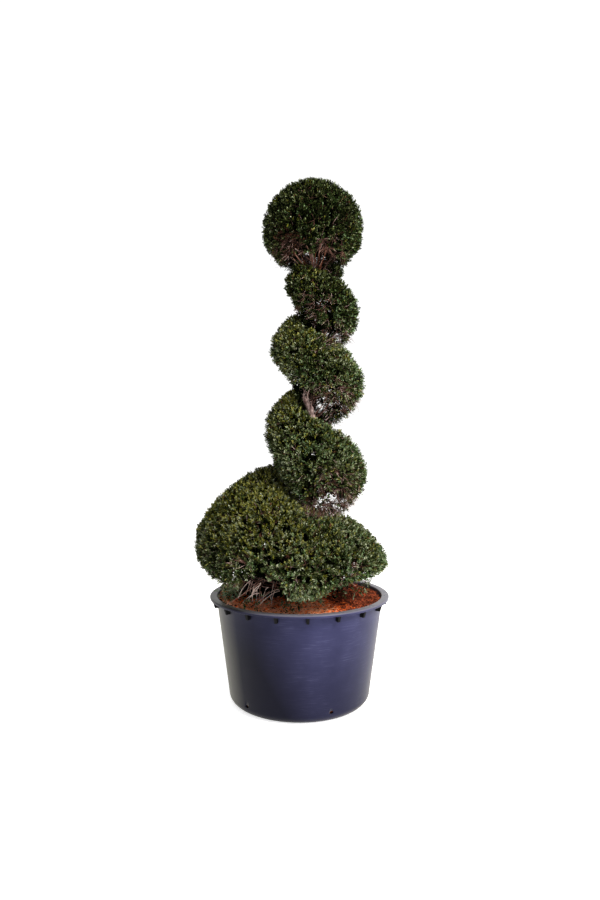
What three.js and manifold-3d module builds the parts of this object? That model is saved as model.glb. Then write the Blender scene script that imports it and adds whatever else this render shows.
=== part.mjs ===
// A spiral topiary: an evergreen trained and clipped into one climbing ribbon of foliage with a ball on top,
// standing in its large round nursery pot.
// Millimetres, +Z up. The origin is the middle of the pot's flat underside and the front faces -Y.
// Going up, the ribbon turns clockwise as seen from above; a "turn" below counts whole windings from the
// right-hand side (+X) of the lowest one.

import * as THREE from 'three';
import { mergeVertices } from 'three/addons/utils/BufferGeometryUtils.js';
import Module from 'manifold-3d';

const wasm = await Module();
wasm.setup();

// Clearance kept between pieces that touch in the real plant.
const GAP = 0.4;

// Pot, a thin plastic shell with a flange at the rim.
const POT_HEIGHT = 554;
const RIM_RADIUS = 476;
const WALL_TOP_RADIUS = 443;
const BASE_RADIUS = 367;
const BASE_FILLET = 48;
const WALL_THICKNESS = 6;
const FLANGE_DEPTH = 14;
const POT_SIDES = 48;
const LUG_COUNT = 19;
const LUG_WIDTH = 14;
const LUG_DROP = 24;
const FIRST_LUG_ANGLE = 5;
const DRAIN_HOLE_ANGLES = [-43.5, 24.5, 80.5];
const DRAIN_HOLE_HEIGHT = 52;
const DRAIN_HOLE_RADIUS = 11;
const DRAIN_HOLE_FLATNESS = 0.7;

// Bark mulch over the growing medium.
const MULCH_LEVEL = 524;
const MULCH_SEAT_RADIUS = 110;
const MULCH_UNEVENNESS = 8;
const MULCH_RINGS = [340, 225];

// Trunk: a slow winding stem that tapers from the root flare to its tip inside the ball.
const TRUNK_FOOT_RADIUS = 43;
const TRUNK_TIP_RADIUS = 6;
const TRUNK_TIP_HEIGHT = 2610;
const TRUNK_LEAN = 68;
const TRUNK_WINDING_RADIUS = 32;
const TRUNK_PITCH = 430;
const TRUNK_FRONT_HEIGHT = 1570;
const ROOT_FLARE = 0.55;
const ROOT_FLARE_HEIGHT = 55;
const ROOT_FLUTES = 5;

// The ribbon of foliage, measured every quarter turn: height of its middle, how far it reaches from the
// spiral's axis, half its height, and how steeply it rises toward the axis.
const RIBBON = [
  { turn: -0.5, middle: 650, reach: 330, halfHeight: 40, lift: 0.1 },
  { turn: -0.25, middle: 690, reach: 395, halfHeight: 100, lift: 0.15 },
  { turn: 0, middle: 798, reach: 466, halfHeight: 164, lift: 0.28 },
  { turn: 0.25, middle: 814, reach: 545, halfHeight: 220, lift: 0.3 },
  { turn: 0.5, middle: 922, reach: 556, halfHeight: 286, lift: 0.25 },
  { turn: 0.75, middle: 1045, reach: 425, halfHeight: 246, lift: 0.2 },
  { turn: 1.0, middle: 1168, reach: 322, halfHeight: 204, lift: 0.1 },
  { turn: 1.25, middle: 1258, reach: 285, halfHeight: 232, lift: 0 },
  { turn: 1.5, middle: 1445, reach: 283, halfHeight: 180, lift: 0 },
  { turn: 1.75, middle: 1565, reach: 268, halfHeight: 174, lift: 0.05 },
  { turn: 2.0, middle: 1674, reach: 262, halfHeight: 168, lift: 0.05 },
  { turn: 2.25, middle: 1766, reach: 252, halfHeight: 172, lift: 0.05 },
  { turn: 2.5, middle: 1868, reach: 260, halfHeight: 170, lift: 0.05 },
  { turn: 2.75, middle: 1960, reach: 240, halfHeight: 165, lift: 0.05 },
  { turn: 3.0, middle: 2050, reach: 234, halfHeight: 164, lift: 0.05 },
  { turn: 3.25, middle: 2122, reach: 212, halfHeight: 148, lift: 0.05 },
  { turn: 3.5, middle: 2204, reach: 182, halfHeight: 130, lift: 0 },
  { turn: 3.75, middle: 2256, reach: 165, halfHeight: 108, lift: 0 },
  { turn: 4.0, middle: 2284, reach: 150, halfHeight: 70, lift: 0 },
  { turn: 4.25, middle: 2300, reach: 110, halfHeight: 40, lift: 0 },
];
const RIBBON_START = -0.4;
const RIBBON_END = 4.06;
const END_ROUNDING = 0.13;
const RIBBON_INNER_EDGE = 20;
const AXIS_SHIFT = 95;
const AXIS_SHIFT_FROM = 850;
const AXIS_SHIFT_TO = 1500;

// The ribbon is made of these masses, each between two turns.
const MASSES = [
  { name: 'base_start_mass', from: RIBBON_START, to: -0.05 },
  { name: 'base_right_mass', from: -0.05, to: 0.17 },
  { name: 'base_front_mass', from: 0.17, to: 0.37 },
  { name: 'base_left_mass', from: 0.37, to: 0.6 },
  { name: 'base_back_mass', from: 0.6, to: 0.86 },
  { name: 'lower_turn_right_mass', from: 0.86, to: 1.2 },
  { name: 'lower_turn_left_mass', from: 1.2, to: 1.54 },
  { name: 'lower_turn_back_mass', from: 1.54, to: 1.88 },
  { name: 'middle_turn_right_mass', from: 1.88, to: 2.22 },
  { name: 'middle_turn_left_mass', from: 2.22, to: 2.56 },
  { name: 'middle_turn_back_mass', from: 2.56, to: 2.9 },
  { name: 'top_turn_right_mass', from: 2.9, to: 3.23 },
  { name: 'top_turn_left_mass', from: 3.23, to: 3.56 },
  { name: 'top_turn_back_mass', from: 3.56, to: RIBBON_END },
];
const MASS_SEAM = 1.5;
const SECTION_SIDES = 14;
const SECTIONS_PER_TURN = 24;
const NARROWEST = 8;

// The hollow under the base, at the front left, where the lowest foliage has worn away from the bare stems.
const HOLLOW_CENTRE = new THREE.Vector3(-180, -420, 580);
const HOLLOW_REACH = new THREE.Vector3(130, 240, 135);
const HOLLOW_MASSES = ['base_front_mass', 'base_left_mass'];

// The ball on top: a leafy shell, open and twiggy underneath.
const BALL_CENTRE = new THREE.Vector3(71, 0, 2487);
const BALL_RADIUS = 273;
const BALL_RIM_DEPTH = 148;
const BALL_HOLLOW = 95;

// Boughs, from the trunk into each mass; those of the base are the stout ones, below this height.
const STOUT_BOUGHS_BELOW = 1100;
const STOUT_BOUGH = { radii: [14, 8], drop: 130, reach: 0.85, sag: 12 };
const SLIM_BOUGH = { radii: [9, 5.5], drop: 45, reach: 0.75, sag: 5 };
const LOWEST_BOUGH_HEIGHT = 594;
const BOUGH_TIP_DROP = 0.15;

// Bare twigs that fan from the trunk's top into the ball's open underside.
const BALL_TWIG_COUNT = 9;
const BALL_TWIG_RADII = [5, 3];
const BALL_TWIG_FOOT = 2312;
const BALL_TWIG_STEP = 9;
const BALL_TWIG_TIP_DROP = 62;
const BALL_TWIG_SPREAD = 150;
const BALL_TWIG_SPREAD_CHANGE = 35;
const BALL_TWIG_SAG = 6;

// Low bare stems under the base.
const LOW_STEM_TURNS = [0.3, 0.41, 0.53, 0.7];
const LOW_STEM_RADII = [10, 5];
const LOW_STEM_FOOT = 586;
const LOW_STEM_STEP = 9;
const LOW_STEM_AROUND = -1.35;
const LOW_STEM_DEPTH = 69;
const LOW_STEM_SAG = 10;

// Sprays of needles that stand out of the masses.
const LEAF_DEPTH = 24;
const SPRAY_WIDTH = 58;
const SPRAY_THICKNESS = 9;
const SPRAY_ROOT = 22;
const SPRAY_LENGTH = 28;
const SPRAY_SHOULDER = 0.82;
const SPRAY_NOTCH = 0.68;
const SPRAY_SPACING = 158;
const SPRAY_SMALLEST = 0.85;
const SPRAY_LARGEST = 1.2;
const SPRAY_SWAY = 0.9;
const SPRAY_RISE = 0.15;
const LEAFY_GIRTH = 0.8;
const LOWEST_BALL_SPRAYS = -36;
const BALL_SPRAY_RINGS = 6;
const STRAY_REACH = 10;
const LIMB_CLEARANCE = 14;
const RANDOM_SEED = 24;

const UP = new THREE.Vector3(0, 0, 1);

// Materials

function plainMaterial(color, roughness) {
  return new THREE.MeshStandardMaterial({ color, roughness, metalness: 0 });
}

const barkMaterial = plainMaterial(0x6d5547, 0.85);
const foliageMaterial = plainMaterial(0x3d4220, 0.7);
const potMaterial = plainMaterial(0x33334a, 0.45);
const mulchMaterial = plainMaterial(0x5a2f1c, 0.95);

// Small tools for numbers and solids

function seededRandom(seed) {
  let state = seed;
  return () => {
    state = (state + 0x6d2b79f5) | 0;
    let mixed = Math.imul(state ^ (state >>> 15), 1 | state);
    mixed = (mixed + Math.imul(mixed ^ (mixed >>> 7), 61 | mixed)) ^ mixed;
    return ((mixed ^ (mixed >>> 14)) >>> 0) / 4294967296;
  };
}

function smooth(low, high, value) {
  return THREE.MathUtils.smoothstep(value, low, high);
}

// A closed three.js geometry as a solid.
function solidOf(geometry) {
  geometry.deleteAttribute('normal');
  geometry.deleteAttribute('uv');
  const merged = mergeVertices(geometry, 1e-3);
  const corners = merged.index.array;
  const kept = [];
  for (let i = 0; i < corners.length; i += 3) {
    const [a, b, c] = [corners[i], corners[i + 1], corners[i + 2]];
    if (a !== b && b !== c && c !== a) {
      kept.push(a, b, c);
    }
  }
  return new wasm.Manifold(new wasm.Mesh({
    numProp: 3,
    vertProperties: new Float32Array(merged.attributes.position.array),
    triVerts: new Uint32Array(kept),
  }));
}

// The largest connected body of a solid, without its scraps and closed hollows.
function mainBody(solid) {
  const bodies = solid.decompose();
  bodies.sort((a, b) => b.volume() - a.volume());
  return bodies[0];
}

function meshOf(name, solid, material) {
  const { vertProperties, triVerts } = solid.getMesh();
  const geometry = new THREE.BufferGeometry();
  geometry.setAttribute('position', new THREE.BufferAttribute(vertProperties, 3));
  geometry.setIndex(new THREE.BufferAttribute(triVerts, 1));
  geometry.computeVertexNormals();
  const mesh = new THREE.Mesh(geometry, material);
  mesh.name = name;
  return mesh;
}

// Moves every vertex of a geometry to where place(x, y, z) says.
function reshape(geometry, place) {
  const position = geometry.attributes.position;
  for (let i = 0; i < position.count; i += 1) {
    const moved = place(position.getX(i), position.getY(i), position.getZ(i));
    position.setXYZ(i, moved.x, moved.y, moved.z);
  }
  return geometry;
}

// A direction in plan, in degrees from the front (-Y) toward the right (+X).
function fromFront(degrees, radius, height) {
  const angle = THREE.MathUtils.degToRad(degrees);
  return new THREE.Vector3(radius * Math.sin(angle), -radius * Math.cos(angle), height);
}

// Pot

function potRadius(height) {
  return THREE.MathUtils.mapLinear(height, 0, POT_HEIGHT, BASE_RADIUS, WALL_TOP_RADIUS);
}

function potShell() {
  const flangeUnderside = POT_HEIGHT - FLANGE_DEPTH;
  const profile = [new THREE.Vector2(0, 0)];
  for (const degrees of [0, 42, 85]) {
    const angle = THREE.MathUtils.degToRad(degrees);
    const radius = potRadius(BASE_FILLET) - BASE_FILLET * (1 - Math.sin(angle));
    profile.push(new THREE.Vector2(radius, BASE_FILLET * (1 - Math.cos(angle))));
  }
  const insideFillet = BASE_FILLET - WALL_THICKNESS;
  const insideTop = potRadius(POT_HEIGHT) - WALL_THICKNESS;
  profile.push(
    new THREE.Vector2(potRadius(flangeUnderside), flangeUnderside),
    new THREE.Vector2(RIM_RADIUS - 5, flangeUnderside - 3),
    new THREE.Vector2(RIM_RADIUS, flangeUnderside + 3),
    new THREE.Vector2(RIM_RADIUS - 1, POT_HEIGHT - 4),
    new THREE.Vector2(RIM_RADIUS - 7, POT_HEIGHT),
    new THREE.Vector2(insideTop, POT_HEIGHT - 2),
    new THREE.Vector2(potRadius(BASE_FILLET) - WALL_THICKNESS, BASE_FILLET),
    new THREE.Vector2(potRadius(BASE_FILLET) - WALL_THICKNESS - insideFillet * 0.3, BASE_FILLET * 0.35),
    new THREE.Vector2(potRadius(0) - BASE_FILLET, WALL_THICKNESS),
    new THREE.Vector2(0, WALL_THICKNESS),
  );
  const lathe = new THREE.LatheGeometry(profile, POT_SIDES);
  lathe.rotateX(Math.PI / 2);
  return solidOf(lathe);
}

// A gusset under the flange, as deep as the flange is wide and narrowing downward.
function lug(degrees) {
  const top = POT_HEIGHT - FLANGE_DEPTH / 2;
  const bottom = POT_HEIGHT - FLANGE_DEPTH - LUG_DROP;
  const inside = potRadius(bottom) - WALL_THICKNESS / 2;
  const side = new THREE.Shape([
    new THREE.Vector2(inside, bottom),
    new THREE.Vector2(RIM_RADIUS - 20, bottom),
    new THREE.Vector2(RIM_RADIUS - 9, bottom + 8),
    new THREE.Vector2(RIM_RADIUS - 6, top),
    new THREE.Vector2(inside, top),
  ]);
  const plate = new THREE.ExtrudeGeometry(side, { depth: LUG_WIDTH, bevelEnabled: false });
  plate.translate(0, 0, -LUG_WIDTH / 2);
  plate.rotateX(Math.PI / 2);
  plate.rotateZ(THREE.MathUtils.degToRad(degrees - 90));
  return solidOf(plate);
}

function drainHole(degrees) {
  const drill = new THREE.CylinderGeometry(DRAIN_HOLE_RADIUS, DRAIN_HOLE_RADIUS, 60, 12);
  drill.scale(1, 1, DRAIN_HOLE_FLATNESS);
  drill.rotateZ(THREE.MathUtils.degToRad(degrees));
  const centre = fromFront(degrees, potRadius(DRAIN_HOLE_HEIGHT), DRAIN_HOLE_HEIGHT);
  drill.translate(centre.x, centre.y, centre.z);
  return solidOf(drill);
}

function pot() {
  let solid = potShell();
  for (let i = 0; i < LUG_COUNT; i += 1) {
    solid = solid.add(lug(FIRST_LUG_ANGLE + (i * 360) / LUG_COUNT));
  }
  for (const degrees of DRAIN_HOLE_ANGLES) {
    solid = solid.subtract(drainHole(degrees));
    solid = solid.subtract(drainHole(degrees + 180));
  }
  return mainBody(solid);
}

// The medium fills the pot just clear of its wall; its mulched top is uneven away from the trunk's foot.
function mulch() {
  const random = seededRandom(RANDOM_SEED);
  const clear = WALL_THICKNESS + GAP;
  const filletInside = (BASE_FILLET - WALL_THICKNESS) * 0.3;
  const edgeHeight = MULCH_LEVEL - MULCH_UNEVENNESS;
  const wallAtEdge = THREE.MathUtils.mapLinear(
    edgeHeight, BASE_FILLET, POT_HEIGHT - 2, potRadius(BASE_FILLET), potRadius(POT_HEIGHT));
  const profile = [
    new THREE.Vector2(0, clear),
    new THREE.Vector2(potRadius(0) - BASE_FILLET - GAP, clear),
    new THREE.Vector2(potRadius(BASE_FILLET) - clear - filletInside, BASE_FILLET * 0.35 + GAP),
    new THREE.Vector2(potRadius(BASE_FILLET) - clear - GAP, BASE_FILLET + GAP),
    new THREE.Vector2(wallAtEdge - clear - GAP, edgeHeight),
    ...MULCH_RINGS.map((radius) => new THREE.Vector2(radius, MULCH_LEVEL)),
    new THREE.Vector2(MULCH_SEAT_RADIUS, MULCH_LEVEL - GAP),
    new THREE.Vector2(0, MULCH_LEVEL - GAP),
  ];
  const lathe = new THREE.LatheGeometry(profile, POT_SIDES);
  lathe.rotateX(Math.PI / 2);
  lathe.deleteAttribute('normal');
  lathe.deleteAttribute('uv');
  const heap = mergeVertices(lathe, 1e-3);
  reshape(heap, (x, y, z) => {
    const loose = z >= MULCH_LEVEL - 0.1;
    const rise = loose ? (random() - 0.5) * 2 * MULCH_UNEVENNESS : 0;
    return new THREE.Vector3(x, y, z + rise);
  });
  return solidOf(heap);
}

// Trunk

function trunkCentre(height) {
  const mean = TRUNK_LEAN * smooth(MULCH_LEVEL, 2300, height);
  const winding = TRUNK_WINDING_RADIUS * smooth(750, 1350, height) * (1 - smooth(2100, 2420, height));
  const angle = -Math.PI / 2 - ((height - TRUNK_FRONT_HEIGHT) / TRUNK_PITCH) * 2 * Math.PI;
  return new THREE.Vector3(mean + winding * Math.cos(angle), winding * Math.sin(angle), height);
}

function trunkRadius(height) {
  const fraction = (height - MULCH_LEVEL) / (TRUNK_TIP_HEIGHT - MULCH_LEVEL);
  return THREE.MathUtils.lerp(TRUNK_FOOT_RADIUS, TRUNK_TIP_RADIUS, Math.pow(fraction, 0.72));
}

// The trunk as level rings, flat at the foot and tip; grow makes it that much fatter all round.
function trunk(grow) {
  const levels = 26;
  const stem = new THREE.CylinderGeometry(1, 1, 1, 10, levels);
  reshape(stem, (x, y, z) => {
    const fraction = Math.pow(y + 0.5, 1.35);
    const height = THREE.MathUtils.lerp(MULCH_LEVEL, TRUNK_TIP_HEIGHT, fraction);
    const angle = Math.atan2(x, z);
    const above = height - MULCH_LEVEL;
    const flutes = 0.75 + 0.25 * Math.cos(ROOT_FLUTES * angle);
    const flare = 1 + ROOT_FLARE * Math.exp(-above / ROOT_FLARE_HEIGHT) * flutes;
    const onAxis = Math.hypot(x, z) < 1e-6;
    const radius = onAxis ? 0 : trunkRadius(height) * flare + grow;
    const centre = trunkCentre(height);
    const end = y < -0.4999 ? -grow : (y > 0.4999 ? grow : 0);
    return new THREE.Vector3(
      centre.x + radius * Math.sin(angle), centre.y - radius * Math.cos(angle), height + end);
  });
  return solidOf(stem);
}

// Boughs

// A tapering limb along a list of points; grow makes it that much fatter all round and past its tip.
function limb(points, startRadius, endRadius, grow) {
  const curve = new THREE.CatmullRomCurve3(points);
  const steps = 3;
  const frames = curve.computeFrenetFrames(steps, false);
  const stem = new THREE.CylinderGeometry(1, 1, steps, 5, steps);
  reshape(stem, (x, y, z) => {
    const step = Math.round(y + steps / 2);
    const centre = curve.getPointAt(step / steps);
    const onAxis = Math.hypot(x, z) < 1e-6;
    const fat = onAxis ? 0 : THREE.MathUtils.lerp(startRadius, endRadius, step / steps) + grow;
    const angle = Math.atan2(x, z);
    centre.addScaledVector(frames.normals[step], fat * Math.sin(angle));
    centre.addScaledVector(frames.binormals[step], -fat * Math.cos(angle));
    centre.addScaledVector(frames.tangents[step], step === steps ? grow : 0);
    return centre;
  });
  return solidOf(stem);
}

// The ribbon's own geometry

const ribbonCurves = {};
for (const key of ['middle', 'reach', 'halfHeight', 'lift']) {
  const stations = RIBBON.map((station) => new THREE.Vector2(station.turn, station[key]));
  ribbonCurves[key] = new THREE.SplineCurve(stations);
}

function ribbonAt(turn) {
  const first = RIBBON[0].turn;
  const last = RIBBON[RIBBON.length - 1].turn;
  const fraction = (turn - first) / (last - first);
  const at = {};
  for (const key of Object.keys(ribbonCurves)) {
    at[key] = ribbonCurves[key].getPoint(fraction).y;
  }
  const fromEnd = Math.min(turn - RIBBON_START, RIBBON_END - turn, END_ROUNDING) / END_ROUNDING;
  const rounding = 0.3 + 0.7 * Math.sqrt(1 - (1 - fromEnd) ** 2);
  at.outFromAxis = (at.reach + RIBBON_INNER_EDGE) / 2;
  at.halfWidth = (rounding * (at.reach - RIBBON_INNER_EDGE)) / 2;
  at.halfHeight *= rounding;
  return at;
}

function axisShift(height) {
  return AXIS_SHIFT * smooth(AXIS_SHIFT_FROM, AXIS_SHIFT_TO, height);
}

// A point at a distance and height in the upright half-plane that stands at this turn.
function inTurn(turn, distance, height) {
  const angle = -turn * 2 * Math.PI;
  return new THREE.Vector3(
    axisShift(height) + distance * Math.cos(angle), distance * Math.sin(angle), height);
}

// A point on the ribbon's skin, sunk by depth; around is 0 at its outer edge and a quarter turn on top.
function ribbonPoint(turn, around, depth) {
  const at = ribbonAt(turn);
  const width = Math.max(at.halfWidth - depth / 2, NARROWEST);
  const tall = Math.max(at.halfHeight - depth, NARROWEST);
  const centre = at.outFromAxis - depth / 2;
  const distance = centre + width * Math.cos(around);
  const height = at.middle + tall * Math.sin(around) + at.lift * (at.outFromAxis - distance);
  return inTurn(turn, distance, height);
}

function ribbonNormal(turn, around) {
  const step = 0.01;
  const alongTurn = ribbonPoint(turn + step, around, 0).sub(ribbonPoint(turn - step, around, 0));
  const alongSkin = ribbonPoint(turn, around + step, 0).sub(ribbonPoint(turn, around - step, 0));
  return alongSkin.cross(alongTurn).normalize();
}

// True where a point lies in the mass's own stretch of the ribbon and under its clipped skin.
function insideMass(mass, point) {
  const angle = Math.atan2(point.y, point.x - axisShift(point.z));
  const distance = Math.hypot(point.y, point.x - axisShift(point.z));
  const middleTurn = (mass.from + mass.to) / 2;
  const turn = -angle / (2 * Math.PI);
  const nearest = turn + Math.round(middleTurn - turn);
  const spare = (MASS_SEAM * 2) / (2 * Math.PI * Math.max(distance, 1));
  if (nearest < mass.from + spare || nearest > mass.to - spare) {
    return false;
  }
  const at = ribbonAt(nearest);
  const across = (distance - at.outFromAxis) / (at.halfWidth + STRAY_REACH);
  const upward = (point.z - at.middle - at.lift * (at.outFromAxis - distance)) / (at.halfHeight + STRAY_REACH);
  return across * across + upward * upward < 1;
}

function inHollow(mass, point) {
  const from = point.clone().sub(HOLLOW_CENTRE).divide(HOLLOW_REACH);
  return HOLLOW_MASSES.includes(mass.name) && from.length() < 1;
}

// True where a spray's tip keeps to its own mass, out of every other and out of the hollow.
function keepsToMass(mass, point) {
  const strays = MASSES.some((other) => other !== mass && insideMass(other, point));
  return insideMass(mass, point) && !strays && !inHollow(mass, point);
}

function massCore(mass) {
  const steps = Math.max(5, Math.round((mass.to - mass.from) * SECTIONS_PER_TURN));
  const body = new THREE.CylinderGeometry(1, 1, 1, SECTION_SIDES, steps);
  reshape(body, (x, y, z) => {
    const turn = THREE.MathUtils.lerp(mass.from, mass.to, y + 0.5);
    const around = Math.atan2(x, z);
    const onAxis = Math.hypot(x, z) < 1e-6;
    const at = ribbonAt(turn);
    const point = onAxis
      ? inTurn(turn, at.outFromAxis, at.middle)
      : ribbonPoint(turn, around, LEAF_DEPTH);
    const seam = Math.abs(y) > 0.4999 ? -Math.sign(y) * MASS_SEAM : 0;
    const angle = -turn * 2 * Math.PI;
    point.x += seam * Math.sin(angle);
    point.y -= seam * Math.cos(angle);
    return point;
  });
  const core = solidOf(body);
  return HOLLOW_MASSES.includes(mass.name) ? core.subtract(hollow()) : core;
}

// The hollow as a round-topped solid to cut the masses with.
function hollow() {
  const space = new THREE.SphereGeometry(1, 12, 8);
  space.rotateX(Math.PI / 2);
  space.scale(HOLLOW_REACH.x, HOLLOW_REACH.y, HOLLOW_REACH.z);
  space.translate(HOLLOW_CENTRE.x, HOLLOW_CENTRE.y, HOLLOW_CENTRE.z);
  return solidOf(space);
}

// The ball's core: a sphere whose underside is pushed up into a shallow hollow.
function ballPoint(latitude, longitude, depth) {
  const radius = BALL_RADIUS - depth;
  const rimLatitude = Math.asin(-BALL_RIM_DEPTH / BALL_RADIUS);
  let distance = radius * Math.cos(latitude);
  let height = radius * Math.sin(latitude);
  if (latitude < rimLatitude) {
    const inward = (rimLatitude - latitude) / (rimLatitude + Math.PI / 2);
    distance = radius * Math.cos(rimLatitude) * (1 - inward);
    height = radius * Math.sin(rimLatitude) + BALL_HOLLOW * Math.sin((inward * Math.PI) / 2);
  }
  return new THREE.Vector3(
    BALL_CENTRE.x + distance * Math.cos(longitude),
    BALL_CENTRE.y + distance * Math.sin(longitude),
    BALL_CENTRE.z + height);
}

function ballCore() {
  const ball = new THREE.SphereGeometry(1, 20, 13);
  reshape(ball, (x, y, z) => {
    const latitude = Math.asin(THREE.MathUtils.clamp(y, -1, 1));
    return ballPoint(latitude, Math.atan2(-z, x), LEAF_DEPTH);
  });
  return solidOf(ball);
}

// Sprays of needles

// A toothed blade three needles wide, thickest along its middle and sharp all round its outline,
// with its root at the origin and pointing along +Y.
function sprayBlade(length, width) {
  const half = width / 2;
  const outline = [
    [-half * 0.3, 0],
    [half * 0.3, 0],
    [half, length * SPRAY_SHOULDER],
    [half * 0.36, length * SPRAY_NOTCH],
    [0, length],
    [-half * 0.36, length * SPRAY_NOTCH],
    [-half, length * SPRAY_SHOULDER],
  ];
  const points = outline.map(([across, out]) => new THREE.Vector3(across, out, 0));
  const front = points.push(new THREE.Vector3(0, length * 0.45, SPRAY_THICKNESS / 2)) - 1;
  const back = points.push(new THREE.Vector3(0, length * 0.45, -SPRAY_THICKNESS / 2)) - 1;
  const corners = [];
  outline.forEach((_, i) => {
    const next = (i + 1) % outline.length;
    corners.push(i, next, front, next, i, back);
  });
  const blade = new THREE.BufferGeometry().setFromPoints(points);
  blade.setIndex(corners);
  return blade;
}

// A spray rooted in the skin at a point, pointing along direction and rolled by an angle.
function spray(root, direction, roll, size) {
  const side = new THREE.Vector3().crossVectors(direction, UP).normalize();
  side.applyAxisAngle(direction, roll);
  const face = new THREE.Vector3().crossVectors(side, direction).normalize();
  const start = root.clone().addScaledVector(direction, -SPRAY_ROOT);
  const placed = new THREE.Matrix4().makeBasis(side, direction, face).setPosition(start);
  const length = SPRAY_ROOT + SPRAY_LENGTH * size;
  const width = SPRAY_WIDTH * size;
  const onBlade = ([across, out]) => new THREE.Vector3(across * width, out * length, 0).applyMatrix4(placed);
  const tips = [[0, 1], [0.5, SPRAY_SHOULDER], [-0.5, SPRAY_SHOULDER]];
  const middle = [[0, 0], [0, 0.3], [0, 0.6], [0.25, 0.5], [-0.25, 0.5]];
  return {
    solid: solidOf(sprayBlade(length, width).applyMatrix4(placed)),
    tips: tips.map(onBlade),
    probes: [...middle, ...tips].map(onBlade),
  };
}

function nearLimb(point, limbs) {
  return limbs.some(({ path, radius }) => (
    path.some((place) => place.distanceTo(point) < radius + LIMB_CLEARANCE)));
}

// Fuses the sprays that stay in their mass's space and clear of every limb.
function leafed(core, sites, random, inSpace, limbs) {
  let solid = core;
  for (const site of sites) {
    const sideways = new THREE.Vector3(random() - 0.5, random() - 0.5, random() - 0.5);
    const direction = site.normal.clone().addScaledVector(sideways, SPRAY_SWAY);
    direction.addScaledVector(UP, SPRAY_RISE).normalize();
    const roll = random() * Math.PI;
    const size = THREE.MathUtils.lerp(SPRAY_SMALLEST, SPRAY_LARGEST, random());
    const made = spray(site.point, direction, roll, size);
    const fits = made.tips.every(inSpace) && !made.probes.some((probe) => nearLimb(probe, limbs));
    if (fits) {
      solid = solid.add(made.solid);
    }
  }
  return solid;
}

// Even rows of spray sites with a seeded shift, over the part of the skin that faces outward.
function ribbonSites(mass, random) {
  const sites = [];
  const at = ribbonAt((mass.from + mass.to) / 2);
  const rowLength = (mass.to - mass.from) * 2 * Math.PI * (at.outFromAxis + at.halfWidth / 2);
  const rows = Math.max(2, Math.round(rowLength / SPRAY_SPACING));
  const girth = Math.PI * (at.halfWidth + at.halfHeight) * LEAFY_GIRTH;
  const columns = Math.max(5, Math.round(girth / SPRAY_SPACING));
  for (let row = 0; row < rows; row += 1) {
    for (let column = 0; column < columns; column += 1) {
      const fraction = (row + 0.25 + 0.5 * random()) / rows;
      const turn = THREE.MathUtils.lerp(mass.from, mass.to, fraction);
      const around = ((column + 0.25 + 0.5 * random()) / columns - 0.5) * 2 * LEAFY_GIRTH * Math.PI;
      sites.push({ point: ribbonPoint(turn, around, LEAF_DEPTH), normal: ribbonNormal(turn, around) });
    }
  }
  return sites;
}

function ballSites(random) {
  const sites = [];
  const ringStep = (90 - LOWEST_BALL_SPRAYS) / BALL_SPRAY_RINGS;
  for (let ring = 0; ring < BALL_SPRAY_RINGS; ring += 1) {
    const latitude = THREE.MathUtils.degToRad(LOWEST_BALL_SPRAYS + (ring + 0.5) * ringStep);
    const count = Math.max(1, Math.round((2 * Math.PI * BALL_RADIUS * Math.cos(latitude)) / SPRAY_SPACING));
    for (let i = 0; i < count; i += 1) {
      const longitude = ((i + random() * 0.5) / count) * 2 * Math.PI;
      const shifted = latitude + (random() - 0.5) * 0.12;
      const point = ballPoint(shifted, longitude, LEAF_DEPTH);
      sites.push({ point, normal: point.clone().sub(BALL_CENTRE).normalize() });
    }
  }
  return sites;
}

// Where each bough runs: from the trunk to a little inside its mass.

function boughToMass(mass) {
  const turn = (mass.from + mass.to) / 2;
  const at = ribbonAt(turn);
  const kind = at.middle < STOUT_BOUGHS_BELOW ? STOUT_BOUGH : SLIM_BOUGH;
  const distance = RIBBON_INNER_EDGE + at.halfWidth * kind.reach;
  const height = at.middle - at.halfHeight * BOUGH_TIP_DROP + at.lift * (at.outFromAxis - distance);
  const end = inTurn(turn, distance, height);
  const start = trunkCentre(Math.max(at.middle - kind.drop, LOWEST_BOUGH_HEIGHT));
  const bend = start.clone().lerp(end, 0.5);
  bend.z -= kind.sag;
  return { name: mass.name.replace('_mass', '_bough'), points: [start, bend, end], radii: kind.radii };
}

function ballTwigs() {
  const twigs = [];
  for (let i = 0; i < BALL_TWIG_COUNT; i += 1) {
    const longitude = (i / BALL_TWIG_COUNT) * 2 * Math.PI + 0.2 * Math.sin(i * 2.3);
    const spread = BALL_TWIG_SPREAD + BALL_TWIG_SPREAD_CHANGE * Math.cos(i * 1.7);
    const start = trunkCentre(BALL_TWIG_FOOT + BALL_TWIG_STEP * (i % 3));
    const end = new THREE.Vector3(
      BALL_CENTRE.x + spread * Math.cos(longitude),
      BALL_CENTRE.y + spread * Math.sin(longitude),
      BALL_CENTRE.z - BALL_TWIG_TIP_DROP);
    const bend = start.clone().lerp(end, 0.5);
    bend.z -= BALL_TWIG_SAG;
    twigs.push({ name: `ball_bough_${i + 1}`, points: [start, bend, end], radii: BALL_TWIG_RADII });
  }
  return twigs;
}

function lowStems() {
  const stems = [];
  for (const [i, turn] of LOW_STEM_TURNS.entries()) {
    const start = trunkCentre(LOW_STEM_FOOT + LOW_STEM_STEP * i);
    const end = ribbonPoint(turn, LOW_STEM_AROUND, LOW_STEM_DEPTH);
    const bend = start.clone().lerp(end, 0.55);
    bend.z = Math.min(bend.z, ribbonAt(turn).middle) - LOW_STEM_SAG;
    stems.push({ name: `low_bough_${i + 1}`, points: [start, bend, end], radii: LOW_STEM_RADII });
  }
  return stems;
}

// Assembly

const topiary = new THREE.Group();
topiary.name = 'spiral_topiary';
topiary.add(meshOf('pot', pot(), potMaterial));
topiary.add(meshOf('mulch', mulch(), mulchMaterial));
topiary.add(meshOf('trunk', trunk(0), barkMaterial));

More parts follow.
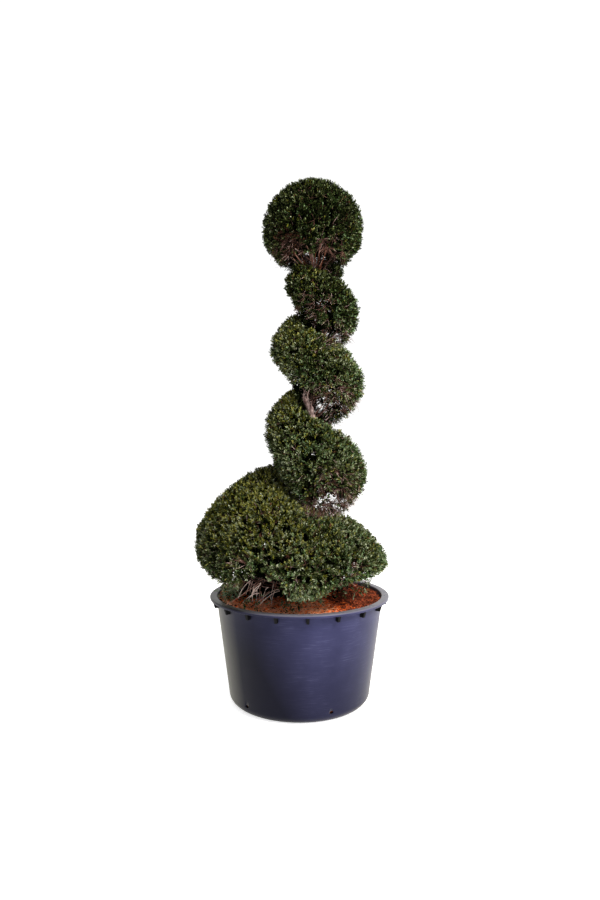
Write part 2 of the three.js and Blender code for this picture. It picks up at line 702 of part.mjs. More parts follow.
const trunkSpace = trunk(GAP);
const boughs = [...MASSES.map(boughToMass), ...ballTwigs(), ...lowStems()];
let boughSpace = null;
const limbs = [];
for (const bough of boughs) {
  let solid = limb(bough.points, bough.radii[0], bough.radii[1], 0).subtract(trunkSpace);
  const space = limb(bough.points, bough.radii[0], bough.radii[1], GAP);
  if (boughSpace) {
    solid = solid.subtract(boughSpace);
  }
  boughSpace = boughSpace ? boughSpace.add(space) : space;
  topiary.add(meshOf(bough.name, mainBody(solid), barkMaterial));
  limbs.push({ path: new THREE.CatmullRomCurve3(bough.points).getSpacedPoints(24), radius: bough.radii[0] });
}
for (let height = MULCH_LEVEL; height < TRUNK_TIP_HEIGHT; height += 15) {
  limbs.push({ path: [trunkCentre(height)], radius: trunkRadius(height) });
}

const random = seededRandom(RANDOM_SEED);
for (const mass of MASSES) {
  const core = massCore(mass).subtract(trunkSpace).subtract(boughSpace);
  const solid = leafed(core, ribbonSites(mass, random), random, (point) => keepsToMass(mass, point), limbs);
  topiary.add(meshOf(mass.name, mainBody(solid), foliageMaterial));
}
const ballBody = ballCore().subtract(trunkSpace).subtract(boughSpace);
const inBall = (point) => point.distanceTo(BALL_CENTRE) < BALL_RADIUS + STRAY_REACH;
const ball = leafed(ballBody, ballSites(random), random, inBall, limbs);
topiary.add(meshOf('ball_mass', mainBody(ball), foliageMaterial));

export default topiary;
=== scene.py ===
# A spiral topiary: a clipped evergreen ribbon climbing round a winding trunk, with a ball on top,
# in its round nursery pot. Everything is in metres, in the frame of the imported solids.
import math

import bpy
import numpy as np
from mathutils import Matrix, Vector, noise


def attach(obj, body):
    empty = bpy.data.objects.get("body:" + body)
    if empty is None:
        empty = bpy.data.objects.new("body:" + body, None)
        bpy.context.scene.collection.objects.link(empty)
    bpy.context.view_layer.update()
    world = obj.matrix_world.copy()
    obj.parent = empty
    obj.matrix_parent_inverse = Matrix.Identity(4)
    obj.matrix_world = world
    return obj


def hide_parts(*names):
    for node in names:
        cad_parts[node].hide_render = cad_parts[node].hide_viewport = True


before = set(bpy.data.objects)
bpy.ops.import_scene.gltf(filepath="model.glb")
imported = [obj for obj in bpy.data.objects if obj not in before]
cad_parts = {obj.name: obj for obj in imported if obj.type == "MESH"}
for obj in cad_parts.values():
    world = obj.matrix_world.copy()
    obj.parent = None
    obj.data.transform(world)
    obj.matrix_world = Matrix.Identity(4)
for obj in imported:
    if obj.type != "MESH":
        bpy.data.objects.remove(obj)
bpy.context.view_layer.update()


# Studio
# A plain pale floor before a white sweep, with one large soft lamp high on the right and a weaker one
# low in front. The camera stands level at chest height, three metres and a third from the pot's axis.

CAMERA_HEIGHT = 1.32
CAMERA_DISTANCE = 3.36
CAMERA_SIDE = 0.003
LENS_MM = 25.0
SENSOR_MM = 36.0
MIDTONE_GAMMA = 0.92
FLOOR_SIZE = 60


def linear(hex_color):
    """A colour written as sRGB hex, as linear red, green and blue with full alpha."""
    levels = [int(hex_color[i : i + 2], 16) / 255 for i in (1, 3, 5)]
    return (*[v / 12.92 if v <= 0.04045 else ((v + 0.055) / 1.055) ** 2.4 for v in levels], 1.0)


def add_node(tree, kind, inputs=None, **settings):
    """Adds one shader node. An input is given a value, or another node's output to link."""
    made = tree.nodes.new("ShaderNode" + kind)
    for name, value in settings.items():
        setattr(made, name, value)
    for name, value in (inputs or {}).items():
        if isinstance(value, bpy.types.NodeSocket):
            tree.links.new(value, made.inputs[name])
        else:
            made.inputs[name].default_value = value
    return made


def new_material(name):
    """An empty material and its node tree."""
    material = bpy.data.materials.new(name)
    material.use_nodes = True
    material.node_tree.nodes.clear()
    return material, material.node_tree


def add_lamp(name, place, target, size, power, color):
    """A square soft lamp that faces a target."""
    lamp = bpy.data.lights.new(name, "AREA")
    lamp.size = size
    lamp.energy = power
    lamp.color = linear(color)[:3]
    holder = bpy.data.objects.new(name, lamp)
    holder.location = place
    holder.rotation_euler = (Vector(target) - Vector(place)).to_track_quat("-Z", "Y").to_euler()
    bpy.context.scene.collection.objects.link(holder)


camera_data = bpy.data.cameras.new("camera")
camera_data.lens = LENS_MM
camera_data.sensor_width = SENSOR_MM
camera_data.clip_end = 100
camera = bpy.data.objects.new("camera", camera_data)
camera.location = (CAMERA_SIDE, -CAMERA_DISTANCE, CAMERA_HEIGHT)
camera.rotation_euler = (math.radians(90), 0, 0)
bpy.context.scene.collection.objects.link(camera)
bpy.context.scene.camera = camera
bpy.context.scene.view_settings.view_transform = "Standard"
bpy.context.scene.view_settings.gamma = MIDTONE_GAMMA

# The white sweep is behind the plant, and the room in front of it is dim.
room = bpy.data.worlds.new("white_sweep_and_dim_room")
room.use_nodes = True
tree = room.node_tree
toward = add_node(tree, "SeparateXYZ", {"Vector": add_node(tree, "TexCoord").outputs["Generated"]})
sweep = {"Value": toward.outputs["Y"], "From Min": -0.3, "From Max": 0.6}
glow = add_node(tree, "MapRange", {**sweep, "To Min": 0.18, "To Max": 1.08})
tree.nodes["Background"].inputs["Color"].default_value = linear("#ffffff")
tree.links.new(glow.outputs["Result"], tree.nodes["Background"].inputs["Strength"])
bpy.context.scene.world = room
add_lamp(
    "key_lamp", place=(3.1, -3.0, 4.4), target=(0, 0, 1.4), size=1.4, power=430, color="#fffaf2"
)
add_lamp(
    "low_front_lamp", place=(2.3, -4.6, 1.6), target=(0, 0, 0.8), size=1.8, power=90, color="#fbfaff"
)

bpy.ops.mesh.primitive_plane_add(size=FLOOR_SIZE)
floor = bpy.context.object
floor.name = "pale_floor"
floor_material, tree = new_material("pale_floor_paint")
# Matt pale paint, lit so evenly that it reads as white and keeps only a faint shadow.
shader = add_node(
    tree,
    "BsdfPrincipled",
    {
        "Base Color": linear("#fbfbfa"),
        "Roughness": 0.9,
        "Emission Color": linear("#ffffff"),
        "Emission Strength": 0.70,
    },
)
add_node(tree, "OutputMaterial", {"Surface": shader.outputs["BSDF"]})
floor.data.materials.append(floor_material)


# Pot
# A 350 litre nursery tub, injection moulded in black polyethylene, painted blue for the sky it
# reflects: a thin tapered wall, a flat flange turned out at the rim, a rounded foot, and drain holes
# low in the wall.

POT_HEIGHT = 0.554
RIM_RADIUS = 0.476
WALL_TOP_RADIUS = 0.443
BASE_RADIUS = 0.367
BASE_FILLET = 0.048
WALL_SPREAD = (WALL_TOP_RADIUS - BASE_RADIUS) / POT_HEIGHT
WALL_THICKNESS = 0.006
FLANGE_DEPTH = 0.014
LIP_RADIUS = 0.006
UNDER_LIP_RADIUS = 0.0025
NECK_RADIUS = 0.004
MOUTH_RADIUS = 0.005
AXIS_GAP = 0.0004
DRAIN_HOLE_ANGLES = (-43.5, 24.5, 80.5, 136.5, 204.5, 260.5)
DRAIN_HOLE_HEIGHT = 0.052
DRAIN_HOLE_RADIUS = 0.011
DRAIN_HOLE_SQUASH = 0.7
DRILL_DEPTH = 0.08
POT_SIDES = 216
# The heights at which the wall's outside and inside have a ring of points.
WALL_LEVELS = (0.08, 0.20, 0.34, 0.46)
INNER_WALL_LEVELS = (0.46, 0.30, 0.10)

# A Mix node's sockets, which share their names: its two colours and their result, and its two plain
# values and theirs.
COLOR_A, COLOR_B, COLOR_RESULT = 6, 7, 2
VALUE_A, VALUE_B, VALUE_RESULT = 2, 3, 0


def mesh_object(name, vertices, faces, materials, face_materials=None, smooth=False):
    """One object from an array of points and an array of equal-sided faces."""
    faces = np.asarray(faces, np.int32)
    count, sides = faces.shape
    mesh = bpy.data.meshes.new(name)
    mesh.vertices.add(len(vertices))
    mesh.vertices.foreach_set("co", np.asarray(vertices, np.float32).ravel())
    mesh.loops.add(count * sides)
    mesh.loops.foreach_set("vertex_index", faces.ravel())
    mesh.polygons.add(count)
    mesh.polygons.foreach_set("loop_start", np.arange(count, dtype=np.int32) * sides)
    for material in materials:
        mesh.materials.append(material)
    if face_materials is not None:
        mesh.polygons.foreach_set("material_index", np.asarray(face_materials, np.int32))
    mesh.polygons.foreach_set("use_smooth", np.full(count, smooth))
    mesh.update(calc_edges=True)
    mesh.validate()
    made = bpy.data.objects.new(name, mesh)
    bpy.context.scene.collection.objects.link(made)
    return made


def pot_radius(height):
    """The outside of the wall's cone at a height."""
    return BASE_RADIUS + WALL_SPREAD * height


def arc(centre, radius, start, end, steps):
    """Points of a rounded corner in the profile, between two angles in degrees from outward."""
    angles = np.radians(np.linspace(start, end, steps))
    return [(centre[0] + radius * math.cos(a), centre[1] + radius * math.sin(a)) for a in angles]


def turned_on_axis(profile, sides):
    """Turns a closed profile of (radius, height) points about the axis into quads."""
    profile = np.array(profile)
    turn = np.linspace(0, 2 * np.pi, sides, endpoint=False)
    ring = profile[:, None, :]
    points = np.stack(
        [
            ring[..., 0] * np.cos(turn),
            ring[..., 0] * np.sin(turn),
            np.broadcast_to(ring[..., 1], (len(profile), sides)),
        ],
        -1,
    )
    i = np.arange(len(profile))[:, None]
    j = np.arange(sides)[None, :]
    up = (i + 1) % len(profile)
    along = (j + 1) % sides
    faces = np.stack([i * sides + j, i * sides + along, up * sides + along, up * sides + j], -1)
    return points.reshape(-1, 3), faces.reshape(-1, 4)


flange_bottom = POT_HEIGHT - FLANGE_DEPTH
fillet_side = pot_radius(BASE_FILLET) - BASE_FILLET
pot_profile = [(AXIS_GAP, 0.0), (0.20, 0.0), (0.31, 0.0)]
pot_profile += arc((fillet_side, BASE_FILLET), BASE_FILLET, -90, -5, 12)
pot_profile += [(pot_radius(z), z) for z in (*WALL_LEVELS, flange_bottom - 0.006)]
neck = (pot_radius(flange_bottom) + NECK_RADIUS, flange_bottom - NECK_RADIUS)
pot_profile += arc(neck, NECK_RADIUS, 180, 90, 4)
pot_profile += arc((RIM_RADIUS - 0.004, flange_bottom + 0.0015), UNDER_LIP_RADIUS, -90, 0, 4)
pot_profile += arc((RIM_RADIUS - LIP_RADIUS, POT_HEIGHT - LIP_RADIUS), LIP_RADIUS, 0, 90, 6)
mouth = (pot_radius(POT_HEIGHT) - 0.001, POT_HEIGHT - MOUTH_RADIUS)
pot_profile += arc(mouth, MOUTH_RADIUS, 90, 180, 5)
pot_profile += [(pot_radius(z) - WALL_THICKNESS, z) for z in INNER_WALL_LEVELS]
pot_profile += [(pot_radius(BASE_FILLET) - WALL_THICKNESS, BASE_FILLET)]
pot_profile += [(fillet_side + 0.02, 0.012), (fillet_side, WALL_THICKNESS)]
pot_profile += [(AXIS_GAP, WALL_THICKNESS)]

tub_plastic, tree = new_material("moulded_polyethylene_black_painted_blue")
# Black polyethylene straight from the mould, painted blue for the sky it reflects: a soft satin
# with faint clouds, rubbed paler by handling in long level scuffs, with painted shade at the foot
# and the left, and a painted reflection of the pale surroundings on the left flank.
place = add_node(tree, "TexCoord").outputs["Object"]
position = add_node(tree, "SeparateXYZ", {"Vector": place})
height = position.outputs["Z"]
across = position.outputs["X"]
# Scuffs run round the wall: about 2 mm tall and 90 mm long, so the height is stretched 45 times.
level = add_node(tree, "Mapping", {"Vector": place, "Scale": (1.0, 1.0, 45.0)})
scuff = add_node(
    tree,
    "TexNoise",
    {"Vector": level.outputs["Vector"], "Scale": 11.0, "Detail": 4.0, "Roughness": 0.6},
)
scuff_mask = add_node(
    tree, "MapRange", {"Value": scuff.outputs["Fac"], "From Min": 0.54, "From Max": 0.80}
)
# Clouds of handling, about 120 mm across.
clouds = add_node(tree, "TexNoise", {"Vector": place, "Scale": 8.0, "Detail": 3.0})
cloud_mask = add_node(
    tree, "MapRange", {"Value": clouds.outputs["Fac"], "From Min": 0.35, "From Max": 0.72}
)
rubbed = add_node(
    tree,
    "Math",
    {0: scuff_mask.outputs["Result"], 1: cloud_mask.outputs["Result"]},
    operation="MULTIPLY",
)
# The blue in these colours is a painted reflection of the sky on black plastic.
clean = add_node(
    tree,
    "Mix",
    {
        "Factor": cloud_mask.outputs["Result"],
        COLOR_A: linear("#2d2e4c"),
        COLOR_B: linear("#363756"),
    },
    data_type="RGBA",
)
worn = add_node(
    tree,
    "Mix",
    {
        "Factor": rubbed.outputs["Value"],
        COLOR_A: clean.outputs[COLOR_RESULT],
        COLOR_B: linear("#5f5f80"),
    },
    data_type="RGBA",
)
# Painted shade darkens the foot of the wall and its left side.
foot = add_node(
    tree,
    "MapRange",
    {"Value": height, "From Min": 0.02, "From Max": 0.50, "To Min": 0.70, "To Max": 0.0},
)
painted_shade_left = add_node(
    tree,
    "MapRange",
    {"Value": across, "From Min": -0.22, "From Max": 0.06, "To Min": 0.72, "To Max": 0.0},
)
shade_paint = add_node(
    tree,
    "Math",
    {0: foot.outputs["Result"], 1: painted_shade_left.outputs["Result"]},
    operation="ADD",
    use_clamp=True,
)
shaded = add_node(
    tree,
    "Mix",
    {
        "Factor": shade_paint.outputs["Value"],
        COLOR_A: worn.outputs[COLOR_RESULT],
        COLOR_B: linear("#0a0b1d"),
    },
    data_type="RGBA",
)
# A painted reflection of the pale surroundings lightens the left flank: it grows from three quarters
# of the wall's half width out to the flank itself, at every height.
half_width = add_node(
    tree, "Math", {0: height, 1: WALL_SPREAD, 2: BASE_RADIUS}, operation="MULTIPLY_ADD"
)
flank = add_node(tree, "Math", {0: across, 1: half_width.outputs["Value"]}, operation="DIVIDE")
painted_reflection = add_node(
    tree,
    "MapRange",
    {
        "Value": flank.outputs["Value"],
        "From Min": -0.72,
        "From Max": -1.0,
        "To Min": 0.0,
        "To Max": 0.42,
    },
)
# The painted reflection is faint on the rim.
below_rim = add_node(
    tree,
    "MapRange",
    {"Value": height, "From Min": 0.528, "From Max": 0.540, "To Min": 1.0, "To Max": 0.2},
)
reflection_paint = add_node(
    tree, "Math", {0: painted_reflection.outputs["Result"], 1: below_rim.outputs["Result"]}, operation="MULTIPLY"
)
with_painted_reflection = add_node(
    tree,
    "Mix",
    {
        "Factor": reflection_paint.outputs["Value"],
        COLOR_A: shaded.outputs[COLOR_RESULT],
        COLOR_B: linear("#8d8b7e"),
    },
    data_type="RGBA",
)
# The rim is painted a pale grey for the highlight its top catches, and a dark grey at the left for
# painted shade.
rim_mask = add_node(
    tree, "MapRange", {"Value": height, "From Min": 0.5465, "From Max": 0.5525, "To Max": 0.8}
)
rim_shade_left = add_node(
    tree,
    "MapRange",
    {"Value": across, "From Min": -0.30, "From Max": -0.18, "To Min": 1.0, "To Max": 0.0},
)
rim_painted_highlight_and_shade = add_node(
    tree,
    "Mix",
    {
        "Factor": rim_shade_left.outputs["Result"],
        COLOR_A: linear("#72717c"),
        COLOR_B: linear("#232327"),
    },
    data_type="RGBA",
)
worn_and_painted = add_node(
    tree,
    "Mix",
    {
        "Factor": rim_mask.outputs["Result"],
        COLOR_A: with_painted_reflection.outputs[COLOR_RESULT],
        COLOR_B: rim_painted_highlight_and_shade.outputs[COLOR_RESULT],
    },
    data_type="RGBA",
)
# The rim is also the glossiest.
satin = add_node(
    tree, "MapRange", {"Value": clouds.outputs["Fac"], "To Min": 0.34, "To Max": 0.52}
)
shine = add_node(
    tree,
    "Mix",
    {"Factor": rim_mask.outputs["Result"], VALUE_A: satin.outputs["Result"], VALUE_B: 0.24},
)
# Mould grain, about 1.5 mm across.
grain = add_node(tree, "TexNoise", {"Vector": place, "Scale": 650.0, "Detail": 2.0})
relief = add_node(
    tree, "Bump", {"Height": grain.outputs["Fac"], "Strength": 0.06, "Distance": 0.001}
)
shader = add_node(
    tree,
    "BsdfPrincipled",
    {
        "Base Color": worn_and_painted.outputs[COLOR_RESULT],
        "Roughness": shine.outputs[VALUE_RESULT],
        "IOR": 1.5,
        "Specular IOR Level": 0.10,
        "Sheen Weight": 0.30,
        "Sheen Roughness": 0.35,
        "Sheen Tint": linear("#cfccb8"),
        "Normal": relief.outputs["Normal"],
    },
)
add_node(tree, "OutputMaterial", {"Surface": shader.outputs["BSDF"]})

points, quads = turned_on_axis(pot_profile, POT_SIDES)
tub = mesh_object("tub_wall_and_rim", points, quads, [tub_plastic], smooth=True)
for degrees in DRAIN_HOLE_ANGLES:
    angle = math.radians(degrees)
    reach = pot_radius(DRAIN_HOLE_HEIGHT)
    bpy.ops.mesh.primitive_cylinder_add(
        vertices=24,
        radius=DRAIN_HOLE_RADIUS,
        depth=DRILL_DEPTH,
        location=(reach * math.sin(angle), -reach * math.cos(angle), DRAIN_HOLE_HEIGHT),
        rotation=(math.radians(90), 0, angle),
    )
    drill = bpy.context.object
    drill.scale[1] = DRAIN_HOLE_SQUASH
    cut = tub.modifiers.new("drain_hole", "BOOLEAN")
    cut.operation = "DIFFERENCE"
    cut.solver = "EXACT"
    cut.object = drill
    bpy.context.view_layer.objects.active = tub
    bpy.ops.object.modifier_apply(modifier=cut.name)
    bpy.data.objects.remove(drill)
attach(tub, "root")
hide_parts("pot")


# Rim gussets
# Small blocks under the flange, moulded in one with the tub, which keep the rim from folding when the
# tub is lifted by it. Each is a little narrower and shallower at its foot.

GUSSET_COUNT = 19
GUSSET_WIDTH = 0.015
GUSSET_DROP = 0.031
GUSSET_SUNK = 0.003
GUSSET_TOP_SETBACK = 0.006
GUSSET_FOOT_SETBACK = 0.016
GUSSET_FOOT_TAPER = 0.001
GUSSET_EDGE = 0.0012
FIRST_GUSSET_ANGLE = 5
BLOCK_FACES = np.array(
    [(0, 3, 2, 1), (4, 5, 6, 7), (0, 1, 5, 4), (1, 2, 6, 5), (2, 3, 7, 6), (3, 0, 4, 7)]
)


def gusset_block(degrees):
    """One gusset as eight corners, deep as the flange at its top and drawn in toward its foot."""
    top = flange_bottom + 0.002
    bottom = flange_bottom - GUSSET_DROP
    corners = []
    for height, setback, taper in (
        (bottom, GUSSET_FOOT_SETBACK, GUSSET_FOOT_TAPER),
        (top, GUSSET_TOP_SETBACK, 0),
    ):
        inner = pot_radius(height) - GUSSET_SUNK
        outer = RIM_RADIUS - setback
        half = GUSSET_WIDTH / 2 - taper
        corners += [(inner, -half), (outer, -half), (outer, half), (inner, half)]
    angle = math.radians(degrees)
    out = np.array([math.sin(angle), -math.cos(angle), 0])
    side = np.array([math.cos(angle), math.sin(angle), 0])
    heights = [bottom] * 4 + [top] * 4
    return [c[0] * out + c[1] * side + np.array([0, 0, h]) for c, h in zip(corners, heights)]


gusset_plastic, tree = new_material("moulded_polyethylene_black")
# The gussets are in the flange's shade and carry no scuffs, so the same plastic reads almost black.
# Its faint mottle is about 8 mm across.
place = add_node(tree, "TexCoord").outputs["Object"]
specks = add_node(tree, "TexNoise", {"Vector": place, "Scale": 120.0, "Detail": 2.0})
tone = add_node(
    tree,
    "Mix",
    {"Factor": specks.outputs["Fac"], COLOR_A: linear("#020203"), COLOR_B: linear("#050507")},
    data_type="RGBA",
)
shader = add_node(
    tree,
    "BsdfPrincipled",
    {
        "Base Color": tone.outputs[COLOR_RESULT],
        "Roughness": 0.6,
        "IOR": 1.5,
        "Specular IOR Level": 0.15,
    },
)
add_node(tree, "OutputMaterial", {"Surface": shader.outputs["BSDF"]})
points = []
quads = []
for number in range(GUSSET_COUNT):
    quads.append(BLOCK_FACES + 8 * number)
    points += gusset_block(FIRST_GUSSET_ANGLE + number * 360 / GUSSET_COUNT)
gussets = mesh_object("rim_gussets", np.array(points), np.concatenate(quads), [gusset_plastic])
rounding = gussets.modifiers.new("moulded_edges", "BEVEL")
rounding.width = GUSSET_EDGE
rounding.segments = 2
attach(gussets, "root")


# Mulch
# The tub is filled with damp growing medium nearly to its rim. Its top is uneven, and banked up a
# little against the wall, most of all at the left and not at the front.

MULCH_LEVEL = 0.524
MULCH_EDGE_RADIUS = 0.430
MULCH_FOOT = 0.010
WALL_GAP = 0.003
WALL_BANK = 0.014
LEFT_BANK = 0.012
HEAP_SIDES = 144
HEAP_RINGS = 46


def smooth(low, high, value):
    """Goes smoothly from 0 at low to 1 at high, whichever is the larger."""
    t = np.clip((np.asarray(value, float) - low) / (high - low), 0, 1)
    return t * t * (3 - 2 * t)


def mulch_rise(x, y):
    """How far the heap stands above or below its level at a place."""
    banked = WALL_BANK * smooth(0.34, 0.42, math.hypot(x, y)) * smooth(-0.36, -0.20, y)
    banked += LEFT_BANK * smooth(-0.25, -0.41, x)
    # It is level at the trunk, and lumpy from 60 mm away.
    away = min(max((math.hypot(x, y) - 0.06) / 0.08, 0), 1)
    # Broad swells about 110 mm across carry small ones about 22 mm across.
    broad = noise.noise(Vector((x * 9, y * 9, 0.3))) * 0.009
    fine = noise.noise(Vector((x * 45, y * 45, 1.7))) * 0.004
    return away * (broad + fine) + banked - 0.002


damp_bark, tree = new_material("damp_growing_medium")
# Peat and rotted bark: dark damp crumbs about 6 mm across, without any shine, between the shreds.
place = add_node(tree, "TexCoord").outputs["Object"]
crumbs = add_node(tree, "TexNoise", {"Vector": place, "Scale": 160.0, "Detail": 5.0})
tone = add_node(
    tree,
    "Mix",
    {"Factor": crumbs.outputs["Fac"], COLOR_A: linear("#3c1608"), COLOR_B: linear("#743218")},
    data_type="RGBA",
)
relief = add_node(
    tree, "Bump", {"Height": crumbs.outputs["Fac"], "Strength": 0.8, "Distance": 0.004}
)
shader = add_node(
    tree,
    "BsdfPrincipled",
    {
        "Base Color": tone.outputs[COLOR_RESULT],
        "Roughness": 0.95,
        "Specular IOR Level": 0.05,
        "Normal": relief.outputs["Normal"],
    },
)
add_node(tree, "OutputMaterial", {"Surface": shader.outputs["BSDF"]})

heap_profile = [(AXIS_GAP, MULCH_FOOT), (0.325, MULCH_FOOT)]
for z in (0.052, 0.20, 0.36, MULCH_LEVEL - 0.008):
    heap_profile.append((pot_radius(z) - WALL_THICKNESS - WALL_GAP, z))
for radius in np.linspace(MULCH_EDGE_RADIUS - 0.006, AXIS_GAP, HEAP_RINGS):
    heap_profile.append((radius, MULCH_LEVEL))
points, quads = turned_on_axis(heap_profile, HEAP_SIDES)
for point in points:
    if point[2] > MULCH_LEVEL - 0.001:
        point[2] += mulch_rise(point[0], point[1])
heap = mesh_object("mulch_heap", points, quads, [damp_bark], smooth=True)
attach(heap, "root")
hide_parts("mulch")


# Bark shreds
# The medium is covered with shredded conifer bark: flat, torn, red-brown shreds a few centimetres
# long that lie loose and overlap, brighter where they are freshly broken.

SHRED_COUNT = 9500
SHRED_LENGTHS = (0.012, 0.042)
SHRED_WIDTHS = (0.0030, 0.0080)
SHRED_RIDGE = 0.45
SHRED_TILT = 0.22
SHRED_PILE = 0.007
SHRED_EDGE = 0.02
# Each shred is a flat sliver: its corners along and across it, pointed at its ends, and the rise of
# its raised middle.
SLIVER_CORNERS = (
    (-1, 0.1, 0),
    (-0.3, -1, 0),
    (0.75, -0.7, 0),
    (1, 0.2, 0),
    (0.2, 1, 0),
    (0.1, 0, 1),
)
SLIVER_FACES = np.array(
    [(0, 1, 5), (1, 2, 5), (2, 3, 5), (3, 4, 5), (4, 0, 5), (1, 0, 4), (1, 4, 2), (2, 4, 3)]
)
# Dry torn bark is matt. The four shades are dealt out along a scale of freshness and painted light,
# from old to pale.
BARK_SHREDS = {
    "old_bark_shred": "#6e3c2a",
    "red_bark_shred": "#bc6040",
    "fresh_bark_shred": "#f87c3c",
    "pale_bark_shred": "#f6b088",
}
FRESHNESS_AND_LIGHT_STEPS = (0.22, 0.56, 0.88)
rng = np.random.default_rng(24)


def plain_material(name, color, roughness, gloss=0.3):
    """One even colour, for small pieces whose variety comes from how the colours are dealt out."""
    material, tree = new_material(name)
    shader = add_node(
        tree,
        "BsdfPrincipled",
        {"Base Color": linear(color), "Roughness": roughness, "Specular IOR Level": gloss},
    )
    add_node(tree, "OutputMaterial", {"Surface": shader.outputs["BSDF"]})
    return material


def unit(vectors):
    """Vectors scaled to length one."""
    return vectors / np.maximum(np.linalg.norm(vectors, axis=-1, keepdims=True), 1e-9)


shred_radius = MULCH_EDGE_RADIUS * np.sqrt(rng.random(SHRED_COUNT)) * 0.992
shred_turn = rng.random(SHRED_COUNT) * 2 * np.pi
centre = np.stack([shred_radius * np.cos(shred_turn), shred_radius * np.sin(shred_turn)], -1)
lift = np.array([mulch_rise(x, y) for x, y in centre])
lift += rng.random(SHRED_COUNT) ** 2 * SHRED_PILE
centre = np.concatenate([centre, (MULCH_LEVEL + lift)[:, None]], 1)
heading = rng.random(SHRED_COUNT) * 2 * np.pi
tilt = rng.normal(0, SHRED_TILT, SHRED_COUNT)
level = np.cos(tilt)
along = np.stack([np.cos(heading) * level, np.sin(heading) * level, np.sin(tilt)], -1)
across = unit(np.cross(along, np.array([0, 0, 1.0])) + rng.normal(0, 0.3, (SHRED_COUNT, 3)))
across = unit(across - along * np.sum(across * along, -1, keepdims=True))
thick = np.cross(across, along)
shred_length = rng.uniform(*SHRED_LENGTHS, SHRED_COUNT)
near_wall = shred_radius > MULCH_EDGE_RADIUS - SHRED_EDGE
shred_length[near_wall] *= 0.5
shred_width = rng.uniform(*SHRED_WIDTHS, SHRED_COUNT)
corners = []
for end, side, rise in SLIVER_CORNERS:
    corners.append(
        centre
        + along * (end * shred_length / 2)[:, None]
        + across * (side * shred_width / 2)[:, None]
        + thick * (rise * shred_width * SHRED_RIDGE)[:, None]
    )
corners = np.stack(corners, 1)
first_corner = len(SLIVER_CORNERS) * np.arange(SHRED_COUNT)
shred_faces = SLIVER_FACES[None] + first_corner[:, None, None]
# Painted light and shade: shreds at the front, in the plant's shade, are dealt paler shades, and
# those at the right, in the lamp's light, darker ones.
freshness_and_painted_light = rng.random(SHRED_COUNT)
freshness_and_painted_light += 0.70 * smooth(0.0, -0.18, centre[:, 1]) * smooth(0.32, 0.10, centre[:, 0])
freshness_and_painted_light -= 0.48 * smooth(0.08, 0.26, centre[:, 0])
dealt = np.repeat(np.digitize(freshness_and_painted_light, FRESHNESS_AND_LIGHT_STEPS), len(SLIVER_FACES))
shreds = mesh_object(
    "bark_shreds",
    corners.reshape(-1, 3),
    shred_faces.reshape(-1, 3),
    [plain_material(name, color, 0.85, 0.05) for name, color in BARK_SHREDS.items()],
    dealt,
)
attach(shreds, "root")


# Trunk
# A single stem, trained round a stake while it was young, so that it winds gently on its way up. Its
# bark is thin and scaly: red-brown, flaking in long plates, weathered grey, and fluted at the foot.

TRUNK_FOOT_RADIUS = 0.043
TRUNK_TIP_RADIUS = 0.006
TAPER_POWER = 0.72
TRUNK_TIP_HEIGHT = 2.610
TRUNK_LEAN = 0.068
TRUNK_WINDING_RADIUS = 0.032
TRUNK_PITCH = 0.430
TRUNK_FRONT_HEIGHT = 1.570
ROOT_FLARE = 0.55
ROOT_FLARE_HEIGHT = 0.055
ROOT_FLUTES = 5
TRUNK_LEVELS = 360
TRUNK_SIDES = 32
PLATE_RELIEF = 0.05
RIDGE_RELIEF = 0.08


def trunk_centre(height):
    """The middle of the trunk at a height."""
    height = np.asarray(height, float)
    mean = TRUNK_LEAN * smooth(MULCH_LEVEL, 2.3, height)
    winding = TRUNK_WINDING_RADIUS * smooth(0.75, 1.35, height) * (1 - smooth(2.1, 2.42, height))
    angle = -np.pi / 2 - (height - TRUNK_FRONT_HEIGHT) / TRUNK_PITCH * 2 * np.pi
    return np.stack([mean + winding * np.cos(angle), winding * np.sin(angle), height], -1)


def trunk_radius(height):
    """The trunk's plain taper."""
    fraction = (np.asarray(height, float) - MULCH_LEVEL) / (TRUNK_TIP_HEIGHT - MULCH_LEVEL)
    narrowing = TRUNK_TIP_RADIUS - TRUNK_FOOT_RADIUS
    return TRUNK_FOOT_RADIUS + narrowing * np.clip(fraction, 0, 1) ** TAPER_POWER


scaly_bark, tree = new_material("scaly_red_brown_bark")
# Thin dead bark in matt plates 10 mm wide and about 35 mm long: pinkish grey, with the red-brown of
# fresh bark in the gaps. Its colour drifts in patches of about 70 mm.
place = add_node(tree, "TexCoord").outputs["Object"]
upright = add_node(tree, "Mapping", {"Vector": place, "Scale": (1.0, 1.0, 0.28)})
plates = add_node(
    tree,
    "TexNoise",
    {"Vector": upright.outputs["Vector"], "Scale": 95.0, "Detail": 6.0, "Roughness": 0.65},
)
plate_mask = add_node(
    tree, "MapRange", {"Value": plates.outputs["Fac"], "From Min": 0.38, "From Max": 0.62}
)
patches = add_node(tree, "TexNoise", {"Vector": place, "Scale": 14.0, "Detail": 3.0})
old_and_new = add_node(
    tree,
    "Mix",
    {"Factor": patches.outputs["Fac"], COLOR_A: linear("#b58779"), COLOR_B: linear("#efdfd9")},
    data_type="RGBA",
)
tone = add_node(
    tree,
    "Mix",
    {
        "Factor": plate_mask.outputs["Result"],
        COLOR_A: linear("#50322b"),
        COLOR_B: old_and_new.outputs[COLOR_RESULT],
    },
    data_type="RGBA",
)
relief = add_node(
    tree, "Bump", {"Height": plates.outputs["Fac"], "Strength": 0.7, "Distance": 0.002}
)
shader = add_node(
    tree,
    "BsdfPrincipled",
    {
        "Base Color": tone.outputs[COLOR_RESULT],
        "Roughness": 0.8,
        "Normal": relief.outputs["Normal"],
    },
)
add_node(tree, "OutputMaterial", {"Surface": shader.outputs["BSDF"]})


